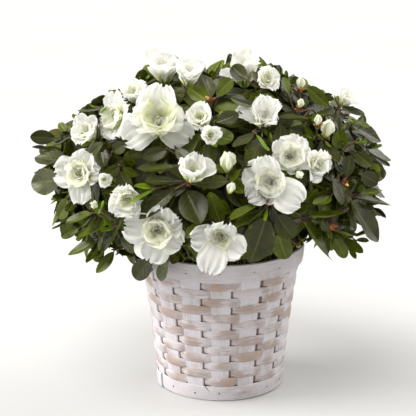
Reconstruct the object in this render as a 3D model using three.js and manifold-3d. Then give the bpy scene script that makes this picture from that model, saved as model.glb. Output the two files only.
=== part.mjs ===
// A double white azalea in bloom, a potted shrub that stands in a whitewashed woven splint basket.
// Millimetres, +Z up, origin at the centre of the basket's flat underside, front towards -Y.

import * as THREE from 'three';
import * as BufferGeometryUtils from 'three/addons/utils/BufferGeometryUtils.js';
import Module from 'manifold-3d';

const wasm = await Module();
wasm.setup();

// Clearance between neighbouring pieces that are not fused
const GAP = 0.35;

// Shortest edge that is left where pieces are fused
const FINEST_EDGE = 0.02;

// Basket
const BASKET_HEIGHT = 168;
const FOOT_RADIUS = 75;
const RIM_RADIUS = 96;
const STRAIGHT_FLARE = 0.6;
const RIM_BAND_HEIGHT = 22;
const FOOT_BAND_HEIGHT = 18;
const BAND_THICKNESS = 2.4;
const WALL_THICKNESS = 5;
const STAVES = 16;
const WEAVER_ROWS = 13;
const WEAVE_RELIEF = 2.2;
const WEAVE_CREST = 0.2;
const FLOOR_THICKNESS = 5;

// Root ball, filled up to a mossy top
const SOIL_EDGE_HEIGHT = 155;
const SOIL_TOP_HEIGHT = 164;
const SOIL_TOP_FLAT = 26;
const MOSS_LUMP = 1.6;
const SOIL_CLEARANCE = 1.4;

// Trunk
const TRUNK_FORK_HEIGHT = 212;
const TRUNK_STEPS = 5;
const TRUNK_FOOT_RADIUS = 11;
const TRUNK_TIP_RADIUS = 7.5;
const ROOT_FLARE = 8;
const ROOT_FLARE_LOBES = 5;
const ROOT_FLARE_FADE = 6;
const ROOT_FLARE_VALLEY = 0.3;
const TRUNK_LEAN = new THREE.Vector2(-5, 2);

// Boughs and the masses of foliage that they carry: one at the top and two rings round it
const BOUGH_BASE_RADIUS = 3.2;
const BOUGH_TIP_RADIUS = 2.5;
const BOUGH_REACH = 0.46;
const BOUGH_BEND_SHARE = 0.4;
const BOUGH_BEND = 7;
const BOUGH_SIDES = 5;
const BOUGH_STEPS = 4;
const MASS_RINGS = [
  { name: 'top', count: 1, turn: 0, climb: 90, reach: 0.56, leaves: 207 },
  { name: 'upper', count: 5, turn: 18, climb: 36, reach: 0.6, leaves: 202 },
  { name: 'lower', count: 7, turn: 0, climb: -14, reach: 0.64, leaves: 191 },
];

// The crown is a dome: an ellipsoid that is higher above its widest level than it is deep below it
const CROWN_CENTRE = new THREE.Vector3(-8, 0, 250);
const CROWN_ACROSS = 203;
const CROWN_DEEP = 185;
const CROWN_UP = 138;
const CROWN_DOWN = 115;
const CROWN_REACH = 1.08;

// Twigs
const TWIG_BASE_RADIUS = 2.3;
const TWIG_TIP_RADIUS = 1.9;
const TWIG_THIN_RADIUS = 1.3;
const TWIG_TAPER = 0.88;
const STEM_LENGTH = 6;
const FORK_SHARE = 0.43;
const SHOOT_KNEE = 24;
const TWIG_SIDES = 3;
const SIDE_TWIG_SETBACK = 1.5;

// Leaves, in a whorl down each shoot: angles in degrees from the shoot's own direction
const LEAF_LENGTH = 50;
const LEAF_WIDTH_SHARE = 0.6;
const LEAF_THICKNESS = 1.5;
const LEAF_CUP = 1.8;
const LEAF_ROOT_DEPTH = 0.4;
const LEAF_DROOP = 0.12;
const LEAF_START = 7;
const LEAF_SPACING = 3;
const LEAF_TURN = 144;
const LEAF_GROWTH = { first: 0.84, step: 0.06, range: 0.1 };
const LEAFY_SHOOT = { leaves: 4, pitch: 52, pitchStep: 8, pitchRange: 10 };
const BLOSSOM_SHOOT = { leaves: 3, pitch: 84, pitchStep: 0, pitchRange: 12 };
const LEAF_TRIES = 9;
const TRY_TURN = 13;
const TRY_PITCH = 6;
const TRY_SHRINK = 0.03;

// How far a leaf may reach into the next mass's space, and the space kept free over a blossom
const MASS_SPILL = 9;
const SHADE_HEIGHT = 70;
const SHADE_SHARE = 0.42;

// Blossoms: shares of the blossom's width
const BLOSSOM_LOBES = 5;
const BLOSSOM_ROOT_DEPTH = 3.5;
const FUNNEL_RADIUS = 3.2;
const FUNNEL_HEIGHT = 0.3;
const BUD_RADIUS = 0.3;
const BUD_WIDEST = 0.55;
const BUD_SIDES = 4;
const OPEN_BLOSSOM = { lift: 0.3, notch: 0.72, heartWidth: 0.46, heartHeight: 0.46 };
const HALF_BLOSSOM = { lift: 0.5, notch: 1, heartWidth: 0.6, heartHeight: 0.74 };
const HEART_DEPTH = 0.16;
const BLOSSOM_SCALES = [1, 0.92, 0.84, 0.76, 0.68];

// How far a shoot's tip lies inside the crown's surface, as a share of its size
const TIP_DEPTH = { open: 0.4, half: 0.6, bud: 1.1, leaves: 0.3 };

// Shoots that fill the crown between those seen at the front
const FILLER_SHOOTS = 112;
const GOLDEN_ANGLE = 137.508;
const FILLER_INSET = 0.89;
const FILLER_JITTER = 0.05;
const FILLER_LIFT = 0.25;
const FILLER_CLEARANCE = 36;
const FILLER_CROWDING = 1.2;
const LOWEST_SHOOT = -0.76;

// Shoots seen at the front: place across and up, kind, size, and the way they face, in degrees
// to the right of straight ahead and above level
const FRONT_SHOOTS = [
  { across: -65, up: 382, kind: 'half', size: 50, turn: -5, tilt: 66 },
  { across: -34, up: 380, kind: 'half', size: 40, turn: 15, tilt: 60 },
  { across: -66, up: 340, kind: 'open', size: 70, turn: -5, tilt: 36 },
  { across: -96, up: 360, kind: 'half', size: 36, turn: -25, tilt: 50 },
  { across: -120, up: 336, kind: 'open', size: 58, turn: -52, tilt: 22 },
  { across: -146, up: 321, kind: 'half', size: 38, turn: -30, tilt: 40 },
  { across: -155, up: 276, kind: 'open', size: 62, turn: -28, tilt: 6 },
  { across: -98, up: 257, kind: 'half', size: 44, turn: -8, tilt: 0 },
  { across: -66, up: 224, kind: 'open', size: 66, turn: -8, tilt: -4 },
  { across: -1, up: 218, kind: 'open', size: 60, turn: -6, tilt: -8 },
  { across: -27, up: 297, kind: 'half', size: 44, turn: 16, tilt: 52 },
  { across: -22, up: 341, kind: 'half', size: 34, turn: -6, tilt: 40 },
  { across: 7, up: 307, kind: 'bud', size: 24, turn: 0, tilt: 58 },
  { across: 46, up: 347, kind: 'half', size: 50, turn: 2, tilt: 48 },
  { across: 52, up: 372, kind: 'half', size: 34, turn: 30, tilt: 25 },
  { across: 25, up: 385, kind: 'half', size: 54, turn: -10, tilt: 74 },
  { across: 146, up: 341, kind: 'half', size: 27, turn: 55, tilt: 46 },
  { across: 116, up: 329, kind: 'bud', size: 22, turn: 14, tilt: 56 },
  { across: 74, up: 302, kind: 'open', size: 50, turn: 12, tilt: 18 },
  { across: 103, up: 291, kind: 'half', size: 38, turn: 34, tilt: 8 },
  { across: 50, up: 277, kind: 'open', size: 58, turn: -4, tilt: 4 },
  { across: -10, up: 362, kind: 'leaves', size: 50, turn: 0, tilt: 50 },
  { across: 52, up: 254, kind: 'leaves', size: 56, turn: 0, tilt: -8 },
  { across: 141, up: 266, kind: 'leaves', size: 50, turn: 42, tilt: 5 },
  { across: -183, up: 298, kind: 'leaves', size: 46, turn: -62, tilt: 12 },
  { across: -126, up: 214, kind: 'leaves', size: 48, turn: -42, tilt: -20 },
  { across: 128, up: 214, kind: 'leaves', size: 48, turn: 42, tilt: -25 },
  { across: -84, up: 186, kind: 'leaves', size: 46, turn: -18, tilt: -45 },
  { across: 158, up: 306, kind: 'leaves', size: 48, turn: 58, tilt: 20 },
];

// Filler shoots at the back, and not too low, that bear blossoms: a draw up to each limit gives
// that kind, and the size lies in a range
const FILLER_BLOSSOM_BACK = 0.62;
const FILLER_BLOSSOM_LOW = -0.5;
const FILLER_KINDS = [
  { kind: 'open', limit: 0.2, least: 46, range: 18 },
  { kind: 'half', limit: 0.36, least: 30, range: 14 },
  { kind: 'bud', limit: 0.44, least: 18, range: 0 },
];
const LEAFY_SIZE = { least: 0.85 * LEAF_LENGTH, range: 0.3 * LEAF_LENGTH };

// Seeds of the random streams
const MOSS_SEED = 11;
const FILLER_SEED = 23;
const LEAF_SEED = 47;

const UP = new THREE.Vector3(0, 0, 1);
const DEGREE = Math.PI / 180;

// Repeatable random numbers from 0 to 1, one stream for each seed
function randomStream(seed) {
  let state = seed >>> 0;
  return () => {
    state = (state + 0x6d2b79f5) >>> 0;
    let mixed = Math.imul(state ^ (state >>> 15), state | 1);
    mixed = (mixed + Math.imul(mixed ^ (mixed >>> 7), mixed | 61)) ^ mixed;
    return ((mixed ^ (mixed >>> 14)) >>> 0) / 4294967296;
  };
}

// Shapes

// Faces between two rings of point numbers, which may differ in length; a ring of one is a tip
function bridge(lower, upper) {
  const faces = [];
  const lowerSteps = lower.length > 1 ? lower.length : 0;
  const upperSteps = upper.length > 1 ? upper.length : 0;
  let i = 0;
  let j = 0;
  while (i < lowerSteps || j < upperSteps) {
    const lowerNext = lowerSteps ? (i + 0.5) / lowerSteps : 2;
    const upperNext = upperSteps ? (j + 0.5) / upperSteps : 2;
    const a = lower[i % lower.length];
    const b = upper[j % upper.length];
    if (lowerNext <= upperNext) {
      i += 1;
      faces.push(a, lower[i % lower.length], b);
    } else {
      j += 1;
      faces.push(a, upper[j % upper.length], b);
    }
  }
  return faces;
}

// A skin through rings of points, anticlockwise as seen from the last ring
function skin(rings, closed = false) {
  const points = rings.flat();
  const numbers = [];
  let next = 0;
  for (const ring of rings) {
    numbers.push(ring.map(() => next++));
  }
  const faces = [];
  for (let i = 0; i + 1 < rings.length; i++) {
    faces.push(...bridge(numbers[i], numbers[i + 1]));
  }
  if (closed) {
    faces.push(...bridge(numbers[rings.length - 1], numbers[0]));
  }
  return new THREE.BufferGeometry().setFromPoints(points).setIndex(faces);
}

function mean(points) {
  const sum = new THREE.Vector3();
  points.forEach((point) => sum.add(point));
  return sum.divideScalar(points.length);
}

// A limb through a row of points with a radius at each, flat at both ends; a side limb starts from
// a point inside the limb that it leaves, and a shoot ends in a point
function limb(points, radii, sides, footInside = false, tipPointed = false) {
  const rings = [];
  const last = points.length - 1;
  let side = new THREE.Vector3(0.31, 0.17, 0.94);
  points.forEach((point, i) => {
    const before = points[Math.max(0, i - 1)];
    const after = points[Math.min(last, i + 1)];
    const axes = axesAlong(after.clone().sub(before), side);
    side = axes.out;
    const centre = point.clone();
    if (i === 0) {
      rings.push([point.clone()]);
      centre.addScaledVector(axes.along, footInside ? SIDE_TWIG_SETBACK * radii[0] : 0);
    }
    rings.push(ringRound(centre, axes, sides, () => radii[i], () => 0));
    if (i === last) {
      rings.push([point.clone().addScaledVector(axes.along, tipPointed ? radii[i] : 0)]);
    }
  });
  return skin(rings);
}

// Three directions at right angles, the first along the one given
function axesAlong(direction, hint) {
  const along = direction.clone().normalize();
  const side = new THREE.Vector3().crossVectors(hint, along);
  if (side.lengthSq() < 1e-6) {
    side.set(1, 0, 0).cross(along);
  }
  side.normalize();
  const out = new THREE.Vector3().crossVectors(along, side);
  return { along, side, out };
}

// A ring of points round an axis, with a radius and a height for each
function ringRound(base, axes, count, radiusAt, heightAt, phase = 0) {
  const ring = [];
  for (let k = 0; k < count; k++) {
    const angle = (k / count) * 2 * Math.PI + phase;
    ring.push(
      base
        .clone()
        .addScaledVector(axes.side, radiusAt(k) * Math.cos(angle))
        .addScaledVector(axes.out, radiusAt(k) * Math.sin(angle))
        .addScaledVector(axes.along, heightAt(k)),
    );
  }
  return ring;
}

// Solids

function toSolid(geometry) {
  const bare = geometry.clone();
  bare.deleteAttribute('normal');
  bare.deleteAttribute('uv');
  const merged = BufferGeometryUtils.mergeVertices(bare, 1e-4);
  return new wasm.Manifold(
    new wasm.Mesh({
      numProp: 3,
      vertProperties: merged.attributes.position.array,
      triVerts: new Uint32Array(merged.index.array),
    }),
  );
}

function toGeometry(solid) {
  const mesh = solid.getMesh();
  const geometry = new THREE.BufferGeometry();
  geometry.setAttribute('position', new THREE.BufferAttribute(mesh.vertProperties, mesh.numProp));
  geometry.setIndex(new THREE.BufferAttribute(mesh.triVerts, 1));
  return geometry;
}

// One body from many pieces, without edges shorter than the finest detail: a sealed hollow is
// filled and a loose scrap is dropped
function fuse(geometries) {
  let joined = toSolid(geometries[0]);
  for (const geometry of geometries.slice(1)) {
    joined = joined.add(toSolid(geometry));
  }
  const bodies = joined.simplify(FINEST_EDGE).decompose();
  bodies.sort((a, b) => b.volume() - a.volume());
  return bodies[0];
}

// Clearance between pieces

// A piece that others have to stay clear of
function placed(geometry, mass) {
  geometry.computeBoundingSphere();
  const position = geometry.attributes.position;
  const points = [];
  for (let i = 0; i < position.count; i++) {
    points.push(new THREE.Vector3().fromBufferAttribute(position, i));
  }
  const index = geometry.index.array;
  const faces = [];
  for (let i = 0; i < index.length; i += 3) {
    faces.push([points[index[i]], points[index[i + 1]], points[index[i + 2]]]);
  }
  return { geometry, mass, points, faces, sphere: geometry.boundingSphere };
}

const probe = new THREE.Ray();
const hit = new THREE.Vector3();

// Whether an edge of one set of faces passes through a face of the other
function edgesPierce(edged, faced) {
  for (const face of edged.faces) {
    for (let k = 0; k < 3; k++) {
      const from = face[k];
      const to = face[(k + 1) % 3];
      const length = from.distanceTo(to);
      probe.origin.copy(from);
      probe.direction.subVectors(to, from).divideScalar(length);
      for (const [a, b, c] of faced.faces) {
        if (probe.intersectTriangle(a, b, c, false, hit) && hit.distanceTo(from) <= length) {
          return true;
        }
      }
    }
  }
  return false;
}

function cross(first, second) {
  if (!first.sphere.intersectsSphere(second.sphere)) {
    return false;
  }
  return edgesPierce(first, second) || edgesPierce(second, first);
}

// Basket

function basketRadius(height) {
  const share = height / BASKET_HEIGHT;
  const flare = STRAIGHT_FLARE * share + (1 - STRAIGHT_FLARE) * share * share;
  return FOOT_RADIUS + (RIM_RADIUS - FOOT_RADIUS) * flare;
}

// The woven wall: staves behind the two bands, and rows of weavers that pass over and under them
function basketWeave() {
  const columns = STAVES * 2;
  const bandSeat = BAND_THICKNESS + GAP;
  const ringAt = (height, insetAt) => {
    const ring = [];
    for (let k = 0; k < columns; k++) {
      const angle = (k / columns) * 2 * Math.PI - Math.PI / 2;
      const radius = basketRadius(height) - insetAt(k);
      ring.push(new THREE.Vector3(radius * Math.cos(angle), radius * Math.sin(angle), height));
    }
    return ring;
  };
  const weaveTop = BASKET_HEIGHT - RIM_BAND_HEIGHT - GAP;
  const weaveFoot = FOOT_BAND_HEIGHT + GAP;
  const rowHeight = (weaveTop - weaveFoot) / WEAVER_ROWS;
  const rings = [ringAt(0, () => bandSeat), ringAt(weaveFoot, () => bandSeat)];
  for (let row = 0; row < WEAVER_ROWS; row++) {
    const middle = weaveFoot + (row + 0.5) * rowHeight;
    const passesOver = (k) => (k / 2 + row) % 2 === 0;
    const crest = (k) => {
      if (k % 2 === 1) {
        return WEAVE_RELIEF / 2;
      }
      return passesOver(k) ? WEAVE_CREST : WEAVE_RELIEF;
    };
    rings.push(ringAt(middle, crest));
  }
  rings.push(ringAt(weaveTop, () => bandSeat));
  rings.push(ringAt(BASKET_HEIGHT - GAP, () => bandSeat));
  rings.push(ringAt(BASKET_HEIGHT - GAP, () => WALL_THICKNESS));
  rings.push(ringAt(BASKET_HEIGHT / 3, () => WALL_THICKNESS));
  rings.push(ringAt(0, () => WALL_THICKNESS));
  return skin(rings, true);
}

// A splint band bent round the outside of the staves
function basketBand(bottom, top) {
  const profile = [
    new THREE.Vector2(basketRadius(bottom), bottom),
    new THREE.Vector2(basketRadius(top), top),
    new THREE.Vector2(basketRadius(top) - BAND_THICKNESS, top),
    new THREE.Vector2(basketRadius(bottom) - BAND_THICKNESS, bottom),
  ];
  return turned([...profile, profile[0].clone()], STAVES * 2);
}

// A shape turned on the upright axis from a profile of radius and height
function turned(profile, segments) {
  const geometry = new THREE.LatheGeometry(profile, segments);
  return geometry.rotateX(Math.PI / 2);
}

function basketFloor() {
  const radius = FOOT_RADIUS - WALL_THICKNESS - GAP;
  return turned(
    [
      new THREE.Vector2(0, 0),
      new THREE.Vector2(radius, 0),
      new THREE.Vector2(radius, FLOOR_THICKNESS),
      new THREE.Vector2(0, FLOOR_THICKNESS),
    ],
    STAVES * 2,
  );
}

// Height of the soil at a distance from the middle: flat under the trunk, then falling to the edge
function soilHeight(distance) {
  const edge = basketRadius(SOIL_EDGE_HEIGHT) - WALL_THICKNESS;
  const share = Math.max(0, (distance - SOIL_TOP_FLAT) / (edge - SOIL_TOP_FLAT));
  return SOIL_TOP_HEIGHT - (SOIL_TOP_HEIGHT - SOIL_EDGE_HEIGHT) * share * share;
}

function rootBall() {
  const sides = STAVES;
  const random = randomStream(MOSS_SEED);
  const bottom = FLOOR_THICKNESS + GAP;
  const inside = (height) => basketRadius(height) - WALL_THICKNESS - SOIL_CLEARANCE;
  const ring = (radius, height, lump) => {
    const points = [];
    for (let k = 0; k < sides; k++) {
      const angle = (k / sides) * 2 * Math.PI;
      const rise = lump * (random() - 0.5);
      points.push(new THREE.Vector3(radius * Math.cos(angle), radius * Math.sin(angle), height + rise));
    }
    return points;
  };
  const edge = inside(SOIL_EDGE_HEIGHT);
  const middle = (edge + SOIL_TOP_FLAT) / 2;
  return skin([
    [new THREE.Vector3(0, 0, bottom)],
    ring(inside(bottom), bottom, 0),
    ring(inside(BASKET_HEIGHT / 3), BASKET_HEIGHT / 3, 0),
    ring(edge, SOIL_EDGE_HEIGHT, MOSS_LUMP),
    ring(middle, soilHeight(middle), 2 * MOSS_LUMP),
    ring(SOIL_TOP_FLAT, SOIL_TOP_HEIGHT, 0),
    [new THREE.Vector3(0, 0, SOIL_TOP_HEIGHT)],
  ]);
}

// Trunk and boughs

const trunkFoot = new THREE.Vector3(0, 0, SOIL_TOP_HEIGHT + GAP);
const trunkTip = new THREE.Vector3(TRUNK_LEAN.x, TRUNK_LEAN.y, TRUNK_FORK_HEIGHT);
const trunkLine = new THREE.LineCurve3(trunkFoot, trunkTip);

// The trunk's rings lie level, so that its foot is a flat cut
function trunk(grow = 0) {
  const sides = ROOT_FLARE_LOBES * 2;
  const rings = [];
  for (let i = 0; i <= TRUNK_STEPS; i++) {
    const t = i / TRUNK_STEPS;
    const centre = trunkLine.getPoint(t);
    const flare = ROOT_FLARE * Math.exp(-ROOT_FLARE_FADE * t);
    const ring = [];
    for (let k = 0; k < sides; k++) {
      const angle = (k / sides) * 2 * Math.PI;
      const lobe = k % 2 === 0 ? flare : flare * ROOT_FLARE_VALLEY;
      const radius = THREE.MathUtils.lerp(TRUNK_FOOT_RADIUS, TRUNK_TIP_RADIUS, t) + lobe + grow;
      const rise = i === TRUNK_STEPS ? grow : 0;
      ring.push(
        new THREE.Vector3(
          centre.x + radius * Math.cos(angle),
          centre.y + radius * Math.sin(angle),
          centre.z + rise,
        ),
      );
    }
    rings.push(ring);
  }
  return skin([[mean(rings[0])], ...rings, [mean(rings[TRUNK_STEPS])]]);
}

// A direction from its turn to the right of straight ahead and its climb above level
function facing(turn, climb) {
  return new THREE.Vector3(
    Math.sin(turn * DEGREE) * Math.cos(climb * DEGREE),
    -Math.cos(turn * DEGREE) * Math.cos(climb * DEGREE),
    Math.sin(climb * DEGREE),
  );
}

// A point of the crown in a direction, at a share of the way to its surface
function crownPoint(direction, share) {
  const vertical = direction.z > 0 ? CROWN_UP : CROWN_DOWN;
  return new THREE.Vector3(
    direction.x * CROWN_ACROSS,
    direction.y * CROWN_DEEP,
    direction.z * vertical,
  )
    .multiplyScalar(share)
    .add(CROWN_CENTRE);
}

// How far out a point lies: 0 at the crown's centre and 1 on its surface
function crownShare(point) {
  const offset = point.clone().sub(CROWN_CENTRE);
  const vertical = offset.z > 0 ? CROWN_UP : CROWN_DOWN;
  return Math.hypot(offset.x / CROWN_ACROSS, offset.y / CROWN_DEEP, offset.z / vertical);
}

function crownNormal(point) {
  const offset = point.clone().sub(CROWN_CENTRE);
  const vertical = offset.z > 0 ? CROWN_UP : CROWN_DOWN;
  return new THREE.Vector3(
    offset.x / CROWN_ACROSS ** 2,
    offset.y / CROWN_DEEP ** 2,
    offset.z / vertical ** 2,
  ).normalize();
}

// The front point of the crown's surface at a place across and up
function crownFront(across, up) {
  const vertical = up > CROWN_CENTRE.z ? CROWN_UP : CROWN_DOWN;
  const x = (across - CROWN_CENTRE.x) / CROWN_ACROSS;
  const z = (up - CROWN_CENTRE.z) / vertical;
  const depth = CROWN_DEEP * Math.sqrt(Math.max(0, 1 - x * x - z * z));
  return new THREE.Vector3(across, CROWN_CENTRE.y - depth, up);
}

// Each mass with the middle of its space and the end of the bough that carries it
function layOutMasses() {
  const masses = [];
  MASS_RINGS.forEach((ring, level) => {
    for (let i = 0; i < ring.count; i++) {
      const turn = ring.turn + (i * 360) / ring.count;
      const middle = crownPoint(facing(turn, ring.climb), ring.reach);
      const leaves = trunkLine.getPoint((ring.leaves - trunkFoot.z) / (trunkTip.z - trunkFoot.z));
      const boughTip = leaves.clone().lerp(middle, BOUGH_REACH);
      const suffix = ring.count > 1 ? `_${i + 1}` : '';
      masses.push({ name: ring.name + suffix, level, turn, middle, leaves, boughTip, shoots: [] });
    }
  });
  return masses;
}

// A bough that leaves the trunk low and outwards and bends up to its mass
function bough(mass) {
  const outwards = facing(mass.turn, 0);
  const bend = mass.leaves.clone().lerp(mass.boughTip, BOUGH_BEND_SHARE);
  bend.addScaledVector(mass.level ? outwards : UP, BOUGH_BEND);
  mass.boughEnd = mass.boughTip.clone().sub(bend).normalize();
  const curve = new THREE.QuadraticBezierCurve3(mass.leaves, bend, mass.boughTip);
  const points = curve.getPoints(BOUGH_STEPS);
  const radii = points.map((_, i) => {
    return THREE.MathUtils.lerp(BOUGH_BASE_RADIUS, BOUGH_TIP_RADIUS, i / BOUGH_STEPS);
  });
  const whole = limb(points, radii, BOUGH_SIDES);
  return toGeometry(toSolid(whole).subtract(toSolid(trunk(GAP))));
}

// Shoots

// The shoots seen at the front, with their blossoms' faces or leaf whorls on the crown's surface
function frontShoots() {
  return FRONT_SHOOTS.map((row) => {
    const face = facing(row.turn, row.tilt);
    const centre = crownFront(row.across, row.up);
    const tip = centre.addScaledVector(face, -TIP_DEPTH[row.kind] * row.size);
    return { tip, face, kind: row.kind, size: row.size };
  });
}

// Shoots spread evenly over the whole dome on a golden spiral, clear of those at the front
function fillerShoots(taken) {
  const random = randomStream(FILLER_SEED);
  const shoots = [];
  for (let i = 0; i < FILLER_SHOOTS; i++) {
    const share = ((i + 0.5) / FILLER_SHOOTS) ** FILLER_CROWDING;
    const rise = THREE.MathUtils.lerp(1, LOWEST_SHOOT, share);
    const turn = i * GOLDEN_ANGLE;
    const direction = facing(turn, Math.asin(rise) / DEGREE);
    const jitter = FILLER_JITTER * (random() - 0.5);
    const draw = random();
    const sizeDraw = random();
    const tip = crownPoint(direction, FILLER_INSET + jitter);
    const clear = [...taken, ...shoots].every((other) => other.tip.distanceTo(tip) > FILLER_CLEARANCE);
    if (!clear) {
      continue;
    }
    const bearsBlossoms = direction.y > FILLER_BLOSSOM_BACK && direction.z > FILLER_BLOSSOM_LOW;
    const drawn = bearsBlossoms ? FILLER_KINDS.find((each) => draw < each.limit) : undefined;
    const kind = drawn ? drawn.kind : 'leaves';
    const sizes = drawn ?? LEAFY_SIZE;
    const size = sizes.least + sizes.range * sizeDraw;
    const face = crownNormal(tip).addScaledVector(UP, FILLER_LIFT).normalize();
    shoots.push({ tip, face, kind, size });
  }
  return shoots;
}

// How far a point has left its own mass's space for that of the nearest neighbour
function spill(point, mass, masses) {
  let most = -Infinity;
  for (const other of masses) {
    if (other !== mass) {
      const between = mass.middle.distanceTo(other.middle);
      const own = point.distanceToSquared(mass.middle);
      const theirs = point.distanceToSquared(other.middle);
      most = Math.max(most, (own - theirs) / (2 * between));
    }
  }
  return most;
}

function shareOut(shoots, masses) {
  for (const shoot of shoots) {
    const spills = masses.map((mass) => spill(shoot.tip, mass, masses));
    masses[spills.indexOf(Math.min(...spills))].shoots.push(shoot);
  }
}

// Twigs

// The direction in which a set of points is spread widest
function widestSpread(points) {
  const middle = mean(points);
  let spread = new THREE.Vector3(1, 0.37, 0.21);
  for (let pass = 0; pass < 8; pass++) {
    const next = new THREE.Vector3();
    for (const point of points) {
      const offset = point.clone().sub(middle);
      next.addScaledVector(offset, offset.dot(spread));
    }
    spread = next.normalize();
  }
  return spread;
}

// Twigs from one point to a set of shoots: a limb runs on to the last shoot of the set, and at
// each fork another limb leaves it for half of those that are left
function growTwigs(start, shoots, startRadius, twigs, footInside) {
  const points = [...start];
  const radii = start.map(() => startRadius);
  let radius = startRadius;
  let rest = shoots;
  while (rest.length > 1) {
    const knees = rest.map((shoot) => shoot.knee);
    const fork = points[points.length - 1].clone().lerp(mean(knees), FORK_SHARE);
    radius = Math.max(TWIG_THIN_RADIUS, radius * TWIG_TAPER);
    points.push(fork);
    radii.push(radius);
    const spread = widestSpread(knees);
    const ranked = [...rest].sort((a, b) => a.knee.dot(spread) - b.knee.dot(spread));
    const half = Math.floor(ranked.length / 2);
    const sideRadius = Math.max(TWIG_THIN_RADIUS, radius * TWIG_TAPER);
    growTwigs([fork], ranked.slice(0, half), sideRadius, twigs, true);
    rest = ranked.slice(half);
  }
  const shoot = rest[0];
  points.push(shoot.knee, shoot.tip);
  radii.push(TWIG_THIN_RADIUS, TWIG_TIP_RADIUS);
  twigs.push({ shoot, geometry: limb(points, radii, TWIG_SIDES, footInside, true) });
}

// The shoot's own axis leans from the crown's outward direction towards the way that it faces
function bendShoots(mass) {
  for (const shoot of mass.shoots) {
    const outwards = crownNormal(shoot.tip);
    shoot.axis = outwards.add(shoot.face).normalize();
    shoot.knee = shoot.tip.clone().addScaledVector(shoot.axis, -SHOOT_KNEE);
  }
}

// Leaves and blossoms

// A leaf of ten faces: a six-cornered outline with raised edges, and the midrib as a keel below
function leaf(base, direction, upwards, length, grow = 0) {
  const axes = axesAlong(direction, upwards);
  const width = length * LEAF_WIDTH_SHARE;
  const at = (along, across, above) =>
    base
      .clone()
      .addScaledVector(axes.along, along * length + (along > 0.9 ? grow : 0))
      .addScaledVector(axes.side, across * (width / 2 + grow))
      .addScaledVector(axes.out, above);
  const rise = LEAF_CUP + grow;
  const points = [
    at(0, 0, 0),
    at(0.4, 0.86, rise),
    at(0.74, 0.84, rise),
    at(1, 0, grow),
    at(0.74, -0.84, rise),
    at(0.4, -0.86, rise),
    at(0.4, 0, -LEAF_THICKNESS - grow),
  ];
  const outline = [0, 1, 2, 3, 4, 5];
  const faces = [0, 5, 1, 1, 5, 3, 1, 3, 2, 5, 4, 3];
  outline.forEach((corner, i) => faces.push(corner, outline[(i + 1) % 6], 6));
  return new THREE.BufferGeometry().setFromPoints(points).setIndex(faces);
}

// A double blossom: a funnel that opens into five lobes round a ruffled heart
function blossom(tip, face, size, kind, grow = 0) {
  const axes = axesAlong(face, UP);
  const form = kind === 'open' ? OPEN_BLOSSOM : HALF_BLOSSOM;
  const corners = form.notch < 1 ? BLOSSOM_LOBES * 2 : BLOSSOM_LOBES;
  const reach = size / 2 + grow;
  const lift = size * form.lift;
  const heartHeight = size * form.heartHeight + grow;
  const lobeRadius = (k) => reach * (k % 2 === 1 && corners > BLOSSOM_LOBES ? form.notch : 1);
  return skin([
    [tip.clone().addScaledVector(axes.along, -BLOSSOM_ROOT_DEPTH)],
    ringRound(tip, axes, BLOSSOM_LOBES, () => FUNNEL_RADIUS + grow, () => lift * FUNNEL_HEIGHT - grow),
    ringRound(tip, axes, corners, lobeRadius, () => lift),
    ringRound(tip, axes, BLOSSOM_LOBES, () => reach * form.heartWidth, () => heartHeight),
    [tip.clone().addScaledVector(axes.along, heartHeight - HEART_DEPTH * size)],
  ]);
}

// A bud: a spindle that is widest above its middle
function bud(tip, face, size, grow = 0) {
  const axes = axesAlong(face, UP);
  return skin([
    [tip.clone().addScaledVector(axes.along, -BLOSSOM_ROOT_DEPTH)],
    ringRound(tip, axes, BUD_SIDES, () => size * BUD_RADIUS + grow, () => size * BUD_WIDEST),
    [tip.clone().addScaledVector(axes.along, size + grow)],
  ]);
}

function flower(shoot, size, grow = 0) {
  if (shoot.kind === 'bud') {
    return bud(shoot.tip, shoot.face, size, grow);
  }
  return blossom(shoot.tip, shoot.face, size, shoot.kind, grow);
}

// Whether a point hangs over the face of a blossom
function shades(point, shoot) {
  const offset = point.clone().sub(shoot.tip);
  const above = offset.dot(shoot.face);
  const aside = offset.addScaledVector(shoot.face, -above).length();
  return above > 0 && above < SHADE_HEIGHT && aside < SHADE_SHARE * shoot.size;
}

// The same piece a little larger, set against what is already placed
function isClear(grown, mass, pieces, skipOwn) {
  const candidate = placed(grown, mass);
  return pieces.every((piece) => {
    if (piece.stem && piece.stem === skipOwn.stem) {
      return true;
    }
    if (skipOwn.fuses && piece.mass === mass) {
      return true;
    }
    return !cross(candidate, piece);
  });
}

// A blossom is made smaller until it clears the other masses
function setFlower(shoot, mass, pieces) {
  for (const scale of BLOSSOM_SCALES) {
    const size = shoot.size * scale;
    if (isClear(flower(shoot, size, GAP), mass, pieces, { fuses: true })) {
      pieces.push(placed(flower(shoot, size), mass));
      return;
    }
  }
}

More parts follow.
